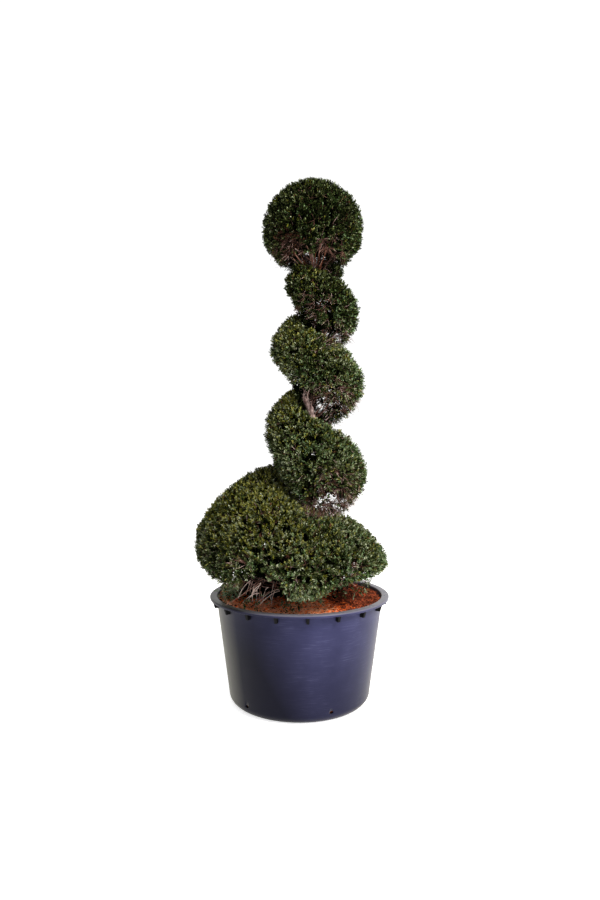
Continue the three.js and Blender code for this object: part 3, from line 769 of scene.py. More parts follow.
def tube_faces(levels, sides):
    """Quads of one tube whose rings follow each other."""
    i = np.arange(levels - 1)[:, None]
    j = np.arange(sides)[None, :]
    along = (j + 1) % sides
    above = (i + 1) * sides
    quads = np.stack([i * sides + j, i * sides + along, above + along, above + j], -1)
    return quads.reshape(-1, 4)


def bark_relief(angle, height):
    """How far the bark stands out at a place of the trunk, as a share of its radius."""
    x = math.cos(angle)
    y = math.sin(angle)
    plate = noise.noise(Vector((x * 5, y * 5, height * 26)))
    ridge = noise.noise(Vector((x * 2, y * 2, height * 4 + 9)))
    return PLATE_RELIEF * plate + RIDGE_RELIEF * ridge


# The rings stand closest at the foot, where the trunk flares.
height = MULCH_LEVEL + (TRUNK_TIP_HEIGHT - MULCH_LEVEL) * np.linspace(0, 1, TRUNK_LEVELS) ** 1.2
turn = np.linspace(0, 2 * np.pi, TRUNK_SIDES, endpoint=False)
flare = ROOT_FLARE * np.exp(-(height - MULCH_LEVEL) / ROOT_FLARE_HEIGHT)
flutes = 0.75 + 0.25 * np.cos(ROOT_FLUTES * (turn + np.pi / 2))
radius = trunk_radius(height)[:, None] * (1 + flare[:, None] * flutes[None])
middle = trunk_centre(height)
bark = np.array([[bark_relief(angle, level) for angle in turn] for level in height])
radius = radius * (0.97 + bark)
radius[-1] *= 0.2
points = np.stack(
    [
        middle[:, None, 0] + radius * np.cos(turn),
        middle[:, None, 1] + radius * np.sin(turn),
        np.broadcast_to(height[:, None], radius.shape),
    ],
    -1,
)
quads = tube_faces(TRUNK_LEVELS, TRUNK_SIDES)
trunk = mesh_object("trunk_bark", points.reshape(-1, 3), quads, [scaly_bark], smooth=True)
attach(trunk, "root")
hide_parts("trunk")


# Ribbon boughs
# The limbs that carry the ribbon of foliage, grown wood in the trunk's own bark: one from the trunk
# into each stretch of the ribbon, and four low bare ones that show under the lowest turn.

# The shears leave one climbing ribbon, oval in section and turning clockwise as it rises. Its size
# at each quarter turn: turn, height of its middle, reach from the axis, half its height, and how
# steeply it rises toward the axis.
RIBBON = np.array(
    [
        (-0.50, 0.650, 0.330, 0.040, 0.10),
        (-0.25, 0.690, 0.395, 0.100, 0.15),
        (0.00, 0.798, 0.466, 0.164, 0.28),
        (0.25, 0.814, 0.545, 0.220, 0.30),
        (0.50, 0.922, 0.556, 0.286, 0.25),
        (0.75, 1.045, 0.425, 0.246, 0.20),
        (1.00, 1.168, 0.322, 0.204, 0.10),
        (1.25, 1.258, 0.285, 0.232, 0.00),
        (1.50, 1.445, 0.283, 0.180, 0.00),
        (1.75, 1.565, 0.268, 0.174, 0.05),
        (2.00, 1.674, 0.262, 0.168, 0.05),
        (2.25, 1.766, 0.252, 0.172, 0.05),
        (2.50, 1.868, 0.260, 0.170, 0.05),
        (2.75, 1.960, 0.240, 0.165, 0.05),
        (3.00, 2.050, 0.234, 0.164, 0.05),
        (3.25, 2.122, 0.212, 0.148, 0.05),
        (3.50, 2.204, 0.182, 0.130, 0.00),
        (3.75, 2.256, 0.165, 0.108, 0.00),
        (4.00, 2.284, 0.150, 0.070, 0.00),
        (4.25, 2.300, 0.110, 0.040, 0.00),
    ]
)
RIBBON_START = -0.4
RIBBON_END = 4.06
RIBBON_INNER_EDGE = 0.020
END_ROUNDING = 0.13
AXIS_SHIFT = 0.095
# The stretch of turns that each mass of the ribbon covers.
MASSES = {
    "base_start_mass": (RIBBON_START, -0.05),
    "base_right_mass": (-0.05, 0.17),
    "base_front_mass": (0.17, 0.37),
    "base_left_mass": (0.37, 0.60),
    "base_back_mass": (0.60, 0.86),
    "lower_turn_right_mass": (0.86, 1.20),
    "lower_turn_left_mass": (1.20, 1.54),
    "lower_turn_back_mass": (1.54, 1.88),
    "middle_turn_right_mass": (1.88, 2.22),
    "middle_turn_left_mass": (2.22, 2.56),
    "middle_turn_back_mass": (2.56, 2.90),
    "top_turn_right_mass": (2.90, 3.23),
    "top_turn_left_mass": (3.23, 3.56),
    "top_turn_back_mass": (3.56, RIBBON_END),
}
BASE_TOP = 1.1
BASE_BOUGH_DROP = 0.130
BASE_BOUGH_REACH = 0.85
BASE_BOUGH_RADII = (0.014, 0.008)
TURN_BOUGH_DROP = 0.045
TURN_BOUGH_REACH = 0.75
TURN_BOUGH_RADII = (0.009, 0.0055)
LOWEST_FORK = 0.070
LOW_BOUGH_TURNS = (0.3, 0.41, 0.53, 0.7)
LOW_BOUGH_FORK = 0.062
LOW_BOUGH_STEP = 0.009
LOW_BOUGH_RADII = (0.010, 0.005)
LOW_BOUGH_SIDE = -1.35
LOW_BOUGH_DEPTH = 0.069
BOUGH_SAG = 0.012
BOUGH_WANDER = 0.0012
BOUGH_STATIONS = 16
BOUGH_SIDES = 10


def ribbon_at(turn):
    """The ribbon at a turn: its middle's height and distance, half width, half height and rise."""
    turn = np.asarray(turn, float)
    place = np.clip((turn - RIBBON[0, 0]) / 0.25, 0, len(RIBBON) - 1.0001)
    i = place.astype(int)
    t = (place - i)[..., None]
    before = RIBBON[np.maximum(i - 1, 0), 1:]
    start = RIBBON[i, 1:]
    end = RIBBON[np.minimum(i + 1, len(RIBBON) - 1), 1:]
    after = RIBBON[np.minimum(i + 2, len(RIBBON) - 1), 1:]
    pull_in = (end - before) / 2
    pull_out = (after - start) / 2
    # A smooth cubic runs through the sizes at the quarter turns.
    value = (
        (2 * start - 2 * end + pull_in + pull_out) * t**3
        + (-3 * start + 3 * end - 2 * pull_in - pull_out) * t**2
        + pull_in * t
        + start
    )
    middle, reach, half_height, lift = np.moveaxis(value, -1, 0)
    from_end = np.minimum(turn - RIBBON_START, RIBBON_END - turn)
    from_end = np.clip(from_end, 0, END_ROUNDING) / END_ROUNDING
    rounding = 0.3 + 0.7 * np.sqrt(1 - (1 - from_end) ** 2)
    half_width = rounding * (reach - RIBBON_INNER_EDGE) / 2
    return middle, (reach + RIBBON_INNER_EDGE) / 2, half_width, half_height * rounding, lift


def in_turn(turn, distance, height):
    """A point at a distance from the spiral's axis and a height, in the upright plane of a turn."""
    angle = -np.asarray(turn) * 2 * np.pi
    shift = AXIS_SHIFT * smooth(0.85, 1.5, height)
    return np.stack([shift + distance * np.cos(angle), distance * np.sin(angle), height], -1)


def ribbon_point(turn, around, depth):
    """A point of the clipped skin, sunk by a depth. Around is 0 outermost, a quarter turn on top."""
    middle, out, half_width, half_height, lift = ribbon_at(turn)
    width = np.maximum(half_width - depth / 2, 0.008)
    tall = np.maximum(half_height - depth, 0.008)
    distance = out - depth / 2 + width * np.cos(around)
    height = middle + tall * np.sin(around) + lift * (out - distance)
    return in_turn(turn, distance, height)


def limb_tubes(paths, start_radius, end_radius, sides):
    """Tapering tubes along paths, which is an array of limbs, stations and coordinates."""
    count, stations, _ = paths.shape
    tangent = unit(np.gradient(paths, axis=1))
    reference = np.where(np.abs(tangent[..., 2:3]) > 0.9, [[[1.0, 0, 0]]], [[[0, 0, 1.0]]])
    side = unit(np.cross(tangent, reference))
    other = np.cross(tangent, side)
    fraction = np.linspace(0, 1, stations)[None, :, None]
    start_radius = np.broadcast_to(start_radius, count)[:, None, None]
    end_radius = np.broadcast_to(end_radius, count)[:, None, None]
    radius = (start_radius + (end_radius - start_radius) * fraction)[..., None]
    turn = np.linspace(0, 2 * np.pi, sides, endpoint=False)[None, None, :, None]
    rings = paths[:, :, None] + radius * (
        side[:, :, None] * np.cos(turn) + other[:, :, None] * np.sin(turn)
    )
    faces = tube_faces(stations, sides)[None] + (np.arange(count) * stations * sides)[:, None, None]
    return rings.reshape(-1, 3), faces.reshape(-1, 4)


def bent_path(start, end, bend, stations):
    """Curved paths between points, each pushed off its straight line by a bend at the middle."""
    t = np.linspace(0, 1, stations)[None, :, None]
    control = (start + end) / 2 + bend
    return (1 - t) ** 2 * start[:, None] + 2 * t * (1 - t) * control[:, None] + t**2 * end[:, None]


bough_starts = []
bough_ends = []
bough_radii = []
for first, last in MASSES.values():
    turn = (first + last) / 2
    middle, out, half_width, half_height, lift = ribbon_at(turn)
    in_base = middle < BASE_TOP
    drop = BASE_BOUGH_DROP if in_base else TURN_BOUGH_DROP
    fork = max(middle - drop, MULCH_LEVEL + LOWEST_FORK)
    distance = RIBBON_INNER_EDGE + half_width * (BASE_BOUGH_REACH if in_base else TURN_BOUGH_REACH)
    tip_height = middle - half_height * 0.15 + lift * (out - distance)
    bough_starts.append(trunk_centre(fork))
    bough_ends.append(in_turn(turn, distance, tip_height))
    bough_radii.append(BASE_BOUGH_RADII if in_base else TURN_BOUGH_RADII)
for number, turn in enumerate(LOW_BOUGH_TURNS):
    bough_starts.append(trunk_centre(MULCH_LEVEL + LOW_BOUGH_FORK + LOW_BOUGH_STEP * number))
    bough_ends.append(ribbon_point(turn, LOW_BOUGH_SIDE, LOW_BOUGH_DEPTH))
    bough_radii.append(LOW_BOUGH_RADII)
bough_radii = np.array(bough_radii)
sag = np.array([0, 0, -BOUGH_SAG])
bough_paths = bent_path(np.array(bough_starts), np.array(bough_ends), sag, BOUGH_STATIONS)
bough_paths[:, 1:-1] += rng.normal(0, BOUGH_WANDER, bough_paths[:, 1:-1].shape)
points, quads = limb_tubes(bough_paths, bough_radii[:, 0], bough_radii[:, 1], BOUGH_SIDES)
boughs = mesh_object("bough_bark", points, quads, [scaly_bark], smooth=True)
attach(boughs, "root")
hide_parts(*[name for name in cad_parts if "bough" in name and "ball" not in name])


# Ball boughs
# Under the ball the trunk breaks up into a fan of thin shoots. No light reaches them, so they have
# dropped their needles. Their thin matt bark is brown, with a few paler ones among them, and is
# painted darker than the twigs' bark for the shade under the ball.

BALL_CENTRE = np.array([0.071, 0.0, 2.487])
FAN_SHOOTS = 40
# Each shoot stands this many radians round from the last, so that no two line up.
FAN_STEP = 2.4
FAN_FOOT_HEIGHTS = (2.255, 2.315)
FAN_FOOT_REACH = (0.008, 0.050)
FAN_TIP_HEIGHTS = (2.400, 2.480)
FAN_TIP_REACH = (0.125, 0.240)
FAN_BEND = 0.012
FAN_RADII = (0.0019, 0.0008)
# The fan's bark is painted darker than the twigs' for the shade under the ball.
FAN_BARK = {
    "fan_dark_bark_painted_shade": "#33201a",
    "fan_red_brown_bark": "#744028",
    "fan_pale_bark": "#a5806e",
}
FAN_BARK_SHARES = (0.50, 0.36, 0.14)
SHOOT_SIDES = 5


def away_from_trunk(angle, rise):
    """Directions away from the trunk at some angles, each with the same rise."""
    return np.stack([np.cos(angle), np.sin(angle), np.full(len(angle), rise)], -1)


def shoot_mesh(name, paths, radii, materials, dealt):
    """One mesh of thin bare shoots, with a material dealt out to each."""
    points, quads = limb_tubes(paths, *radii, SHOOT_SIDES)
    face_materials = dealt.repeat(len(quads) // len(paths))
    return mesh_object(name, points, quads, materials, face_materials, smooth=True)


fan_away = away_from_trunk(np.arange(FAN_SHOOTS) * FAN_STEP, 0.0)
fan_starts = trunk_centre(rng.uniform(*FAN_FOOT_HEIGHTS, FAN_SHOOTS))
fan_starts += fan_away * rng.uniform(*FAN_FOOT_REACH, (FAN_SHOOTS, 1))
fan_ends = BALL_CENTRE + fan_away * rng.uniform(*FAN_TIP_REACH, (FAN_SHOOTS, 1))
fan_ends[:, 2] = rng.uniform(*FAN_TIP_HEIGHTS, FAN_SHOOTS)
fan = shoot_mesh(
    "ball_fan_bark",
    bent_path(fan_starts, fan_ends, rng.normal(0, FAN_BEND, (FAN_SHOOTS, 3)), 9),
    FAN_RADII,
    [plain_material(name, color, 0.8) for name, color in FAN_BARK.items()],
    rng.choice(len(FAN_BARK), FAN_SHOOTS, p=FAN_BARK_SHARES),
)
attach(fan, "root")
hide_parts(*[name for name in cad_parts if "ball_bough" in name])


# Ribbon foliage
# Evergreen clipped close: short shoots with flat waxy needles crowd in rounded clumps that end at the
# sheared skin: gold-olive on top, where they are also painted lighter, dark green at the sides, and
# painted nearly black inside for the shade there. The twigs behind them are thin and matt, and bare
# where light never reaches.

CLIP_DEPTH = 0.004
SHOULDER_DEPTH = 0.014
SKIN_TRIES = 90000
SKIN_STEP = 1e-3
RAISED_UNDERSIDE = 0.035
SKIN_LUMPS = 0.006
SKIN_ROUGHNESS = 0.0035

# A needle is as long as a real one and twice as wide, and the old ones inside are larger than life,
# because there would be millions of the real size.
NEEDLE_LENGTH = 0.016
NEEDLE_WIDTH = 0.0056
NEEDLES_ON_SHOOT = 7
OLD_NEEDLE_LENGTH = 0.030
OLD_NEEDLE_WIDTH = 0.012
OLD_NEEDLES_ON_SHOOT = 6
CLUMP_SPACING = 0.033
CLUMP_RADIUS = 0.018
CLUMP_ROUNDING = 0.013
PROUD_LIMIT = 0.006
OUTER_SHOOTS = 6
INNER_SHOOTS = 3
INNER_DEPTHS = (0.034, 0.085)
DENSE_DEPTHS = (0.034, 0.180)
SHOOT_LENGTH = 0.036
UPWARD_HANG = 0.2

LIMB_SPACING = 0.20
LIMB_RADII = (0.0036, 0.0022)
LIMB_END_DEPTH = 0.05
LIMB_SLOPE = 0.5
LIMB_SAG = 0.08
LOWEST_LIMB = MULCH_LEVEL + 0.05
HIGHEST_LIMB = 2.44
TWIG_SPACING = 0.075
TWIG_SCATTER = 0.006
TWIG_RADII = (0.0020, 0.0013)
STEM_RADII = (0.0013, 0.0008)
THIN_SHARE = 0.62
BARE_TWIGS = 3
BARE_TWIG_SCATTER = 0.014
BARE_TWIG_RADII = (0.0010, 0.0005)
TWIG_BARK = {"twig_red_brown": "#694a3f", "twig_pink_grey": "#bba39b", "twig_dark": "#38241c"}
TWIG_BARK_SHARES = (0.52, 0.22, 0.26)
FACES_OF_ONE_SHADE = 6
NEAREST_BLOCK = 500

OLIVE, GREEN, BRONZE, GOLD = range(4)
# Each family's shades run from dark to light: they give the needles' own variety, and also painted
# shade and painted light. Olive's darkest are painted shade for the needles inside.
NEEDLE_COLORS = {
    "olive": ("#090c04", "#191f08", "#303916", "#4f572e", "#737b59", "#a1a78b"),
    "green": ("#1f2c0f", "#42562d", "#728661"),
    "gold": ("#3e400e", "#676722", "#8f8e4e"),
    "bronze": ("#33211a", "#5d3e2c"),
}
needle_materials = []
first_shade = {}
for family, colors in NEEDLE_COLORS.items():
    first_shade[family] = len(needle_materials)
    for step, color in enumerate(colors):
        # Needles are stiff and waxy: a broad dull gloss, fainter on the old ones inside.
        gloss = 0.02 + 0.05 * step
        name = f"waxy_{family}_needle_{step + 1}"
        needle_materials.append(plain_material(name, color, 0.6, gloss))
# Twig bark is matt: red-brown while it is young, pinkish grey later, and dark where it is damp.
twig_materials = [plain_material(name, color, 0.8) for name, color in TWIG_BARK.items()]

# Places where the plant is thin, as they appear from the front in the upright plane of the trunk:
# x, height, half width, half height, the share of shoots that keep their needles, and whether the
# far side is as thin, so that the sky shows.
THIN_PLACES = (
    (-0.055, 2.395, 0.090, 0.074, 0.14, False),
    (0.160, 2.395, 0.080, 0.074, 0.08, False),
    (0.050, 2.338, 0.150, 0.016, 0.16, True),
    (0.100, 2.116, 0.110, 0.086, 0.38, True),
    (0.200, 1.925, 0.085, 0.050, 0.24, True),
    (0.015, 2.130, 0.022, 0.050, 0.30, True),
    (0.210, 1.600, 0.165, 0.110, 0.60, True),
    (0.150, 1.530, 0.120, 0.035, 0.40, True),
    (0.190, 1.140, 0.155, 0.110, 0.48, False),
    (0.160, 1.026, 0.150, 0.066, 0.12, True),
    (-0.362, 0.723, 0.050, 0.035, 0.36, False),
    (0.315, 0.690, 0.055, 0.060, 0.25, False),
)
# Where the ball's needles have died and turned rusty, and how far that reaches.
RUSTY_CENTRE = np.array([-0.070, -0.185, 2.365])
RUSTY_REACH = 0.085
# The hollow under the base at its front left, where only stems are left, and its dark inner end.
HOLLOW_CENTRE = np.array([-0.172, -0.420, 0.583])
HOLLOW_REACH = np.array([0.140, 0.260, 0.162])
INNER_END_CENTRE = np.array([-0.180, -0.160, 0.610])
INNER_END_REACH = np.array([0.200, 0.250, 0.160])


def clipped_skin(turn, around):
    """The skin as the shears leave it: a little pointed outward and upward, shoulders cut away."""
    return ribbon_point(turn, around, CLIP_DEPTH + SHOULDER_DEPTH * np.sin(2 * around) ** 2)


def skin_normals(turn, around):
    """The outward directions of the clipped skin."""
    by_turn = clipped_skin(turn + SKIN_STEP, around) - clipped_skin(turn - SKIN_STEP, around)
    by_around = clipped_skin(turn, around + SKIN_STEP) - clipped_skin(turn, around - SKIN_STEP)
    return unit(np.cross(by_around, by_turn))


def lumps(points):
    """The clipped skin's slow unevenness at some points, from -1 to 1."""
    # Seven waves, 100 to 250 mm long, cross in seven directions.
    total = 0
    for i in range(7):
        wave = 2 * np.pi / (0.10 + 0.025 * i)
        heading = unit(np.array([math.sin(i * 2.1), math.cos(i * 3.3), math.sin(i * 1.3 + 1)]))
        total = total + np.sin(points @ heading * wave + i * 1.9)
    return total / 4


def spread_out(points, spacing):
    """Picks points so that each cube of space that holds any keeps one."""
    _, first = np.unique(np.floor(points / spacing).astype(int), axis=0, return_index=True)
    return np.sort(first)


def noise_at(points, scale, shift):
    """Smooth noise at some points, from about -0.7 to 0.7."""
    offset = Vector((shift, shift * 0.7, -shift))
    return np.array([noise.noise(Vector(point) * scale + offset) for point in points])


def seen_from_front(points):
    """Where points appear in the upright plane of the trunk from where the plant is looked at."""
    nearer = CAMERA_DISTANCE / (CAMERA_DISTANCE + points[:, 1])
    return points[:, 0] * nearer, CAMERA_HEIGHT + (points[:, 2] - CAMERA_HEIGHT) * nearer


def leafy_share(points, normals, inner_side, hang):
    """The share of a clump's shoots that still have their needles."""
    # Clumps that face the ground or the trunk stand in the dark, unless they hang out of it.
    lit_below = np.maximum(smooth(-0.97, -0.4, normals[:, 2]), smooth(0.0, 0.4, -hang))
    share = lit_below * (0.25 + 0.75 * smooth(-1.0, -0.5, inner_side))
    from_inner_end = np.linalg.norm((points - INNER_END_CENTRE) / INNER_END_REACH, axis=1)
    share = share * smooth(0.85, 1.2, from_inner_end)
    across, upward = seen_from_front(points)
    for x, z, half_width, half_height, keep, sees_through in THIN_PLACES:
        near = np.hypot((across - x) / half_width, (upward - z) / half_height)
        thinned = (1 - keep) * (1 - smooth(0.6, 1.2, near))
        share = share * (1 - np.where(sees_through | (points[:, 1] < 0), thinned, 0))
    return share


def clump_tones(skin, normals):
    """How light each clump is, and the chances that its shoots are green, gold or rusty."""
    height = skin[:, 2]
    # Tops are painted lighter than sides for the light from above, the far left darker for painted
    # shade, and the foot paler for painted light under the base; the ball is darker.
    tone = 2.6 + 0.3 * normals[:, 2] * (1 - smooth(2.0, 2.4, height))
    tone = tone + 0.55 * noise_at(skin, 5.0, 0.0) + 0.6 * noise_at(skin, 20.0, 3.0)
    tone -= 0.20 * smooth(1.5, 1.8, height) + 1.05 * smooth(1.8, 2.35, height)
    tone += 0.8 * (1 - smooth(0.60, 0.85, height)) - 0.6 * smooth(0.15, 0.45, -skin[:, 0])
    # Green comes in patches, more of them at the right and low down.
    green_chance = 0.30 + 0.6 * noise_at(skin, 7.0, 8.0) + 0.5 * np.clip(skin[:, 0] * 1.5, -0.6, 0.5)
    green_chance += 0.25 * (1 - smooth(0.62, 0.95, height)) - 0.3 * np.clip(normals[:, 2], 0, 1)
    # Gold tips show where the sun reaches: on tops, and less at the right and on the ball.
    gold_chance = 0.08 + 0.58 * smooth(0.20, 0.85, normals[:, 2]) * smooth(0.30, -0.15, skin[:, 0])
    gold_chance *= 1 - 0.6 * smooth(2.25, 2.4, height)
    from_rust = np.linalg.norm(skin - RUSTY_CENTRE, axis=1) / RUSTY_REACH
    rusty_chance = 0.015 + 0.75 * (1 - smooth(0.5, 1.3, from_rust))
    return tone, green_chance, gold_chance, rusty_chance


def needle_shade(family, tone):
    """The number of the material in a family that is nearest to a tone."""
    # Olive has two shades that are darker than where the other families begin.
    darkest = 0 if family == "olive" else 2
    lightest = len(NEEDLE_COLORS[family]) - 1
    return first_shade[family] + np.clip(np.round(tone - darkest), 0, lightest)


def grow_needles(roots, tips, tones, families, needles_on_shoot, needle_length, needle_width):
    """Flat needles along shoots from roots to tips, as corners, with each needle's material."""
    count = len(roots)
    shape = (count, needles_on_shoot)
    along = unit(tips - roots)
    length = np.linalg.norm(tips - roots, axis=1)
    side = unit(np.cross(along, rng.normal(0, 1, (count, 3))))
    face = np.cross(along, side)
    k = np.arange(needles_on_shoot)
    u = 0.25 + 0.75 * (k + 1) / needles_on_shoot
    base = roots[:, None] + along[:, None] * (length[:, None] * u)[..., None]
    # Needles stand on two sides in turn, wide of the shoot low down and closer toward its tip.
    roll = np.pi * (k % 2) + rng.normal(0, 0.8, shape)
    spread = np.radians(72 - 40 * u) + rng.normal(0, 0.15, shape)
    spread[:, -1] = 0.15
    outward = side[:, None] * np.cos(roll)[..., None] + face[:, None] * np.sin(roll)[..., None]
    needle = along[:, None] * np.cos(spread)[..., None] + outward * np.sin(spread)[..., None]
    reach = needle_length * rng.uniform(0.75, 1.2, shape) * (1.08 - 0.35 * u)
    flat = unit(np.cross(needle, along[:, None] + rng.normal(0, 0.5, (*shape, 3))))
    half = flat * needle_width / 2
    belly = base + needle * (reach * 0.5)[..., None]
    corners = np.stack([base, belly + half, base + needle * reach[..., None], belly - half], 2)
    # A shoot is lighter toward its tip, and no two of its needles face the light alike.
    tone = tones[:, None] + 2.0 * (u - 0.75) + rng.normal(0, 0.85, shape)
    lit = tone > 1.5
    family = families[:, None]
    chosen = [lit & (family == GREEN), lit & (family == GOLD), family == BRONZE]
    shades = [needle_shade(kind, tone) for kind in ("green", "gold", "bronze")]
    dealt = np.select(chosen, shades, needle_shade("olive", tone)).astype(int)
    return corners.reshape(-1, 3), dealt.ravel()


def grow_new_needles(roots, tips, tones, families):
    """The needles of the last years, on shoots that the light reaches."""
    size = (NEEDLES_ON_SHOOT, NEEDLE_LENGTH, NEEDLE_WIDTH)
    return grow_needles(roots, tips, tones, families, *size)


def grow_old_needles(roots, tips, tones):
    """The long needles that stand inside, painted dark for the shade there."""
    size = (OLD_NEEDLES_ON_SHOOT, OLD_NEEDLE_LENGTH, OLD_NEEDLE_WIDTH)
    return grow_needles(roots, tips, tones, np.full(len(roots), OLIVE), *size)


def needle_mesh(name, corners, dealt):
    """One mesh of needles with four corners each, in the shades dealt out to them."""
    faces = np.arange(len(corners)).reshape(-1, 4)
    return mesh_object(name, corners, faces, needle_materials, dealt)


def nearest(points, paths):
    """For each point, the closest station of any path."""
    stations = paths.reshape(-1, 3)
    chosen = np.empty((len(points), 3))
    # It goes block by block, because all the distances at once would fill the memory.
    for first in range(0, len(points), NEAREST_BLOCK):
        block = slice(first, first + NEAREST_BLOCK)
        distance = np.linalg.norm(points[block, None] - stations[None], axis=2)
        chosen[block] = stations[np.argmin(distance, 1)]
    return chosen


def twig_paths(starts, ends, sag, stations):
    """Curved twigs, each bent its own way."""
    reach = np.linalg.norm(ends - starts, axis=1)[:, None]
    bend = rng.normal(0, 0.10, starts.shape) * reach + np.array([0, 0, sag]) * reach
    return bent_path(starts, ends, bend, stations)


def twig_mesh(name, skin, normals, lean, roots, share, bark_shares):
    """One mass's wood: limbs off the trunk, twigs off them, a stem to each clump, and bare twigs."""
    deep = roots[spread_out(roots, LIMB_SPACING)]
    inward = unit(trunk_centre(np.clip(deep[:, 2], MULCH_LEVEL, TRUNK_TIP_HEIGHT)) - deep)
    limb_ends = deep + inward * LIMB_END_DEPTH
    drop = np.linalg.norm(limb_ends[:, :2], axis=1) * LIMB_SLOPE + 0.02
    limb_starts = trunk_centre(np.clip(limb_ends[:, 2] - drop, LOWEST_LIMB, HIGHEST_LIMB))
    limb_lines = twig_paths(limb_starts, limb_ends, -LIMB_SAG, 10)

    twig_ends = roots[spread_out(roots, TWIG_SPACING)]
    twig_ends = twig_ends + rng.normal(0, TWIG_SCATTER, twig_ends.shape)
    twig_lines = twig_paths(nearest(twig_ends, limb_lines[:, 3:]), twig_ends, 0.0, 6)

    stem_ends = skin - lean * SHOOT_LENGTH * 0.5
    stem_lines = twig_paths(nearest(stem_ends, twig_lines[:, 2:]), stem_ends, 0.0, 2)

    # Where many shoots have lost their needles, bare twigs end at the skin.
    bare = skin[(share < THIN_SHARE) & (normals[:, 2] > -0.75)].repeat(BARE_TWIGS, axis=0)
    bare_ends = bare + rng.normal(0, BARE_TWIG_SCATTER, bare.shape)
    bare_lines = twig_paths(nearest(bare_ends, twig_lines[:, 2:]), bare_ends, 0.0, 4)

    points = []
    quads = []
    offset = 0
    for lines, radii, sides in (
        (limb_lines, LIMB_RADII, 6),
        (twig_lines, TWIG_RADII, 3),
        (stem_lines, STEM_RADII, 3),
        (bare_lines, BARE_TWIG_RADII, 3),
    ):
        part_points, part_quads = limb_tubes(lines, *radii, sides)
        points.append(part_points)
        quads.append(part_quads + offset)
        offset += len(part_points)
    quads = np.concatenate(quads)
    dealt = rng.choice(len(TWIG_BARK), len(quads) // FACES_OF_ONE_SHADE + 1, p=bark_shares)
    dealt = dealt.repeat(FACES_OF_ONE_SHADE)[: len(quads)]
    return mesh_object(name, np.concatenate(points), quads, twig_materials, dealt)


def around_clumps(side, face, shoots, radius):
    """Offsets of shoots from each clump's own line, and how near the clump's rim each stands."""
    radial = np.sqrt(rng.random((len(side), shoots)))
    radial[:, 0] *= 0.3
    turn = rng.random((len(side), shoots)) * 2 * np.pi
    across = side[:, None] * (radial * np.cos(turn))[..., None]
    upward = face[:, None] * (radial * np.sin(turn))[..., None]
    return (across + upward) * radius, radial**2


def outer_needles(skin, normals, side, face, roots, bulge, share):
    """The clumps' own shoots, which end at the sheared skin, the middle ones a little higher."""
    tones, green_chance, gold_chance, rusty_chance = clump_tones(skin, normals)
    offset, rim = around_clumps(side, face, OUTER_SHOOTS, CLUMP_RADIUS)
    sunk = CLUMP_ROUNDING * rim + rng.uniform(-0.003, 0.004, rim.shape) - bulge[:, None]
    sunk = np.maximum(sunk, -PROUD_LIMIT) + NEEDLE_LENGTH * 0.45
    tips = skin[:, None] + offset - normals[:, None] * sunk[..., None]
    starts = roots[:, None] + offset * 0.35 + rng.normal(0, 0.004, (*rim.shape, 3))
    # Shoots near a clump's rim stand deeper and are painted darker, for the shade between clumps.
    tone = tones[:, None] + 0.45 - 0.9 * rim + rng.normal(0, 0.8, rim.shape)
    leafy = rng.random(rim.shape) < share[:, None]
    families = np.where(rng.random(rim.shape) < green_chance[:, None], GREEN, OLIVE)
    families[rng.random(rim.shape) < gold_chance[:, None]] = GOLD
    families[rng.random(rim.shape) < rusty_chance[:, None]] = BRONZE
    return grow_new_needles(starts[leafy], tips[leafy], tone[leafy], families[leafy])


def inner_needles(skin, normals, side, face, lean, share, dense):
    """Old needles behind the clumps, painted nearly black for the shade inside, which close the view
    into the mass.
    """
    offset, rim = around_clumps(side, face, INNER_SHOOTS + dense, CLUMP_RADIUS * 1.7)
    sunk = rng.uniform(*(DENSE_DEPTHS if dense else INNER_DEPTHS), rim.shape)
    tips = skin[:, None] + offset - normals[:, None] * sunk[..., None]
    starts = tips - lean[:, None] * 0.030 + rng.normal(0, 0.008, (*rim.shape, 3))
    leafy = rng.random(rim.shape) < share[:, None] ** 2
    return grow_old_needles(starts[leafy], tips[leafy], rng.normal(0.2, 0.5, leafy.sum()))


def dress_mass(name, skin, normals, inner_side, hang, bark_shares, dense):
    """Replaces one mass by its twigs and needles. Skin and the arrays after it have a row a clump."""
    bulge = SKIN_LUMPS * lumps(skin) + rng.normal(0, SKIN_ROUGHNESS, len(skin))
    lean = unit(normals + rng.normal(0, 0.22, skin.shape) + hang[:, None] * np.array([0, 0, 1.0]))
    roots = skin - lean * SHOOT_LENGTH * 1.25
    share = leafy_share(skin, normals, inner_side, hang)
    twig_name = name.replace("mass", "twigs")
    twigs = twig_mesh(twig_name, skin, normals, lean, roots, share, bark_shares)
    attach(twigs, "root")

    side = unit(np.cross(lean, rng.normal(0, 1, skin.shape)))
    face = np.cross(lean, side)
    new_corners, new_dealt = outer_needles(skin, normals, side, face, roots, bulge, share)
    old_corners, old_dealt = inner_needles(skin, normals, side, face, lean, share, dense)
    corners = np.concatenate([new_corners, old_corners])
    dealt = np.concatenate([new_dealt, old_dealt])
    needles = needle_mesh(name.replace("mass", "needles"), corners, dealt)
    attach(needles, "root")
    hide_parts(name)


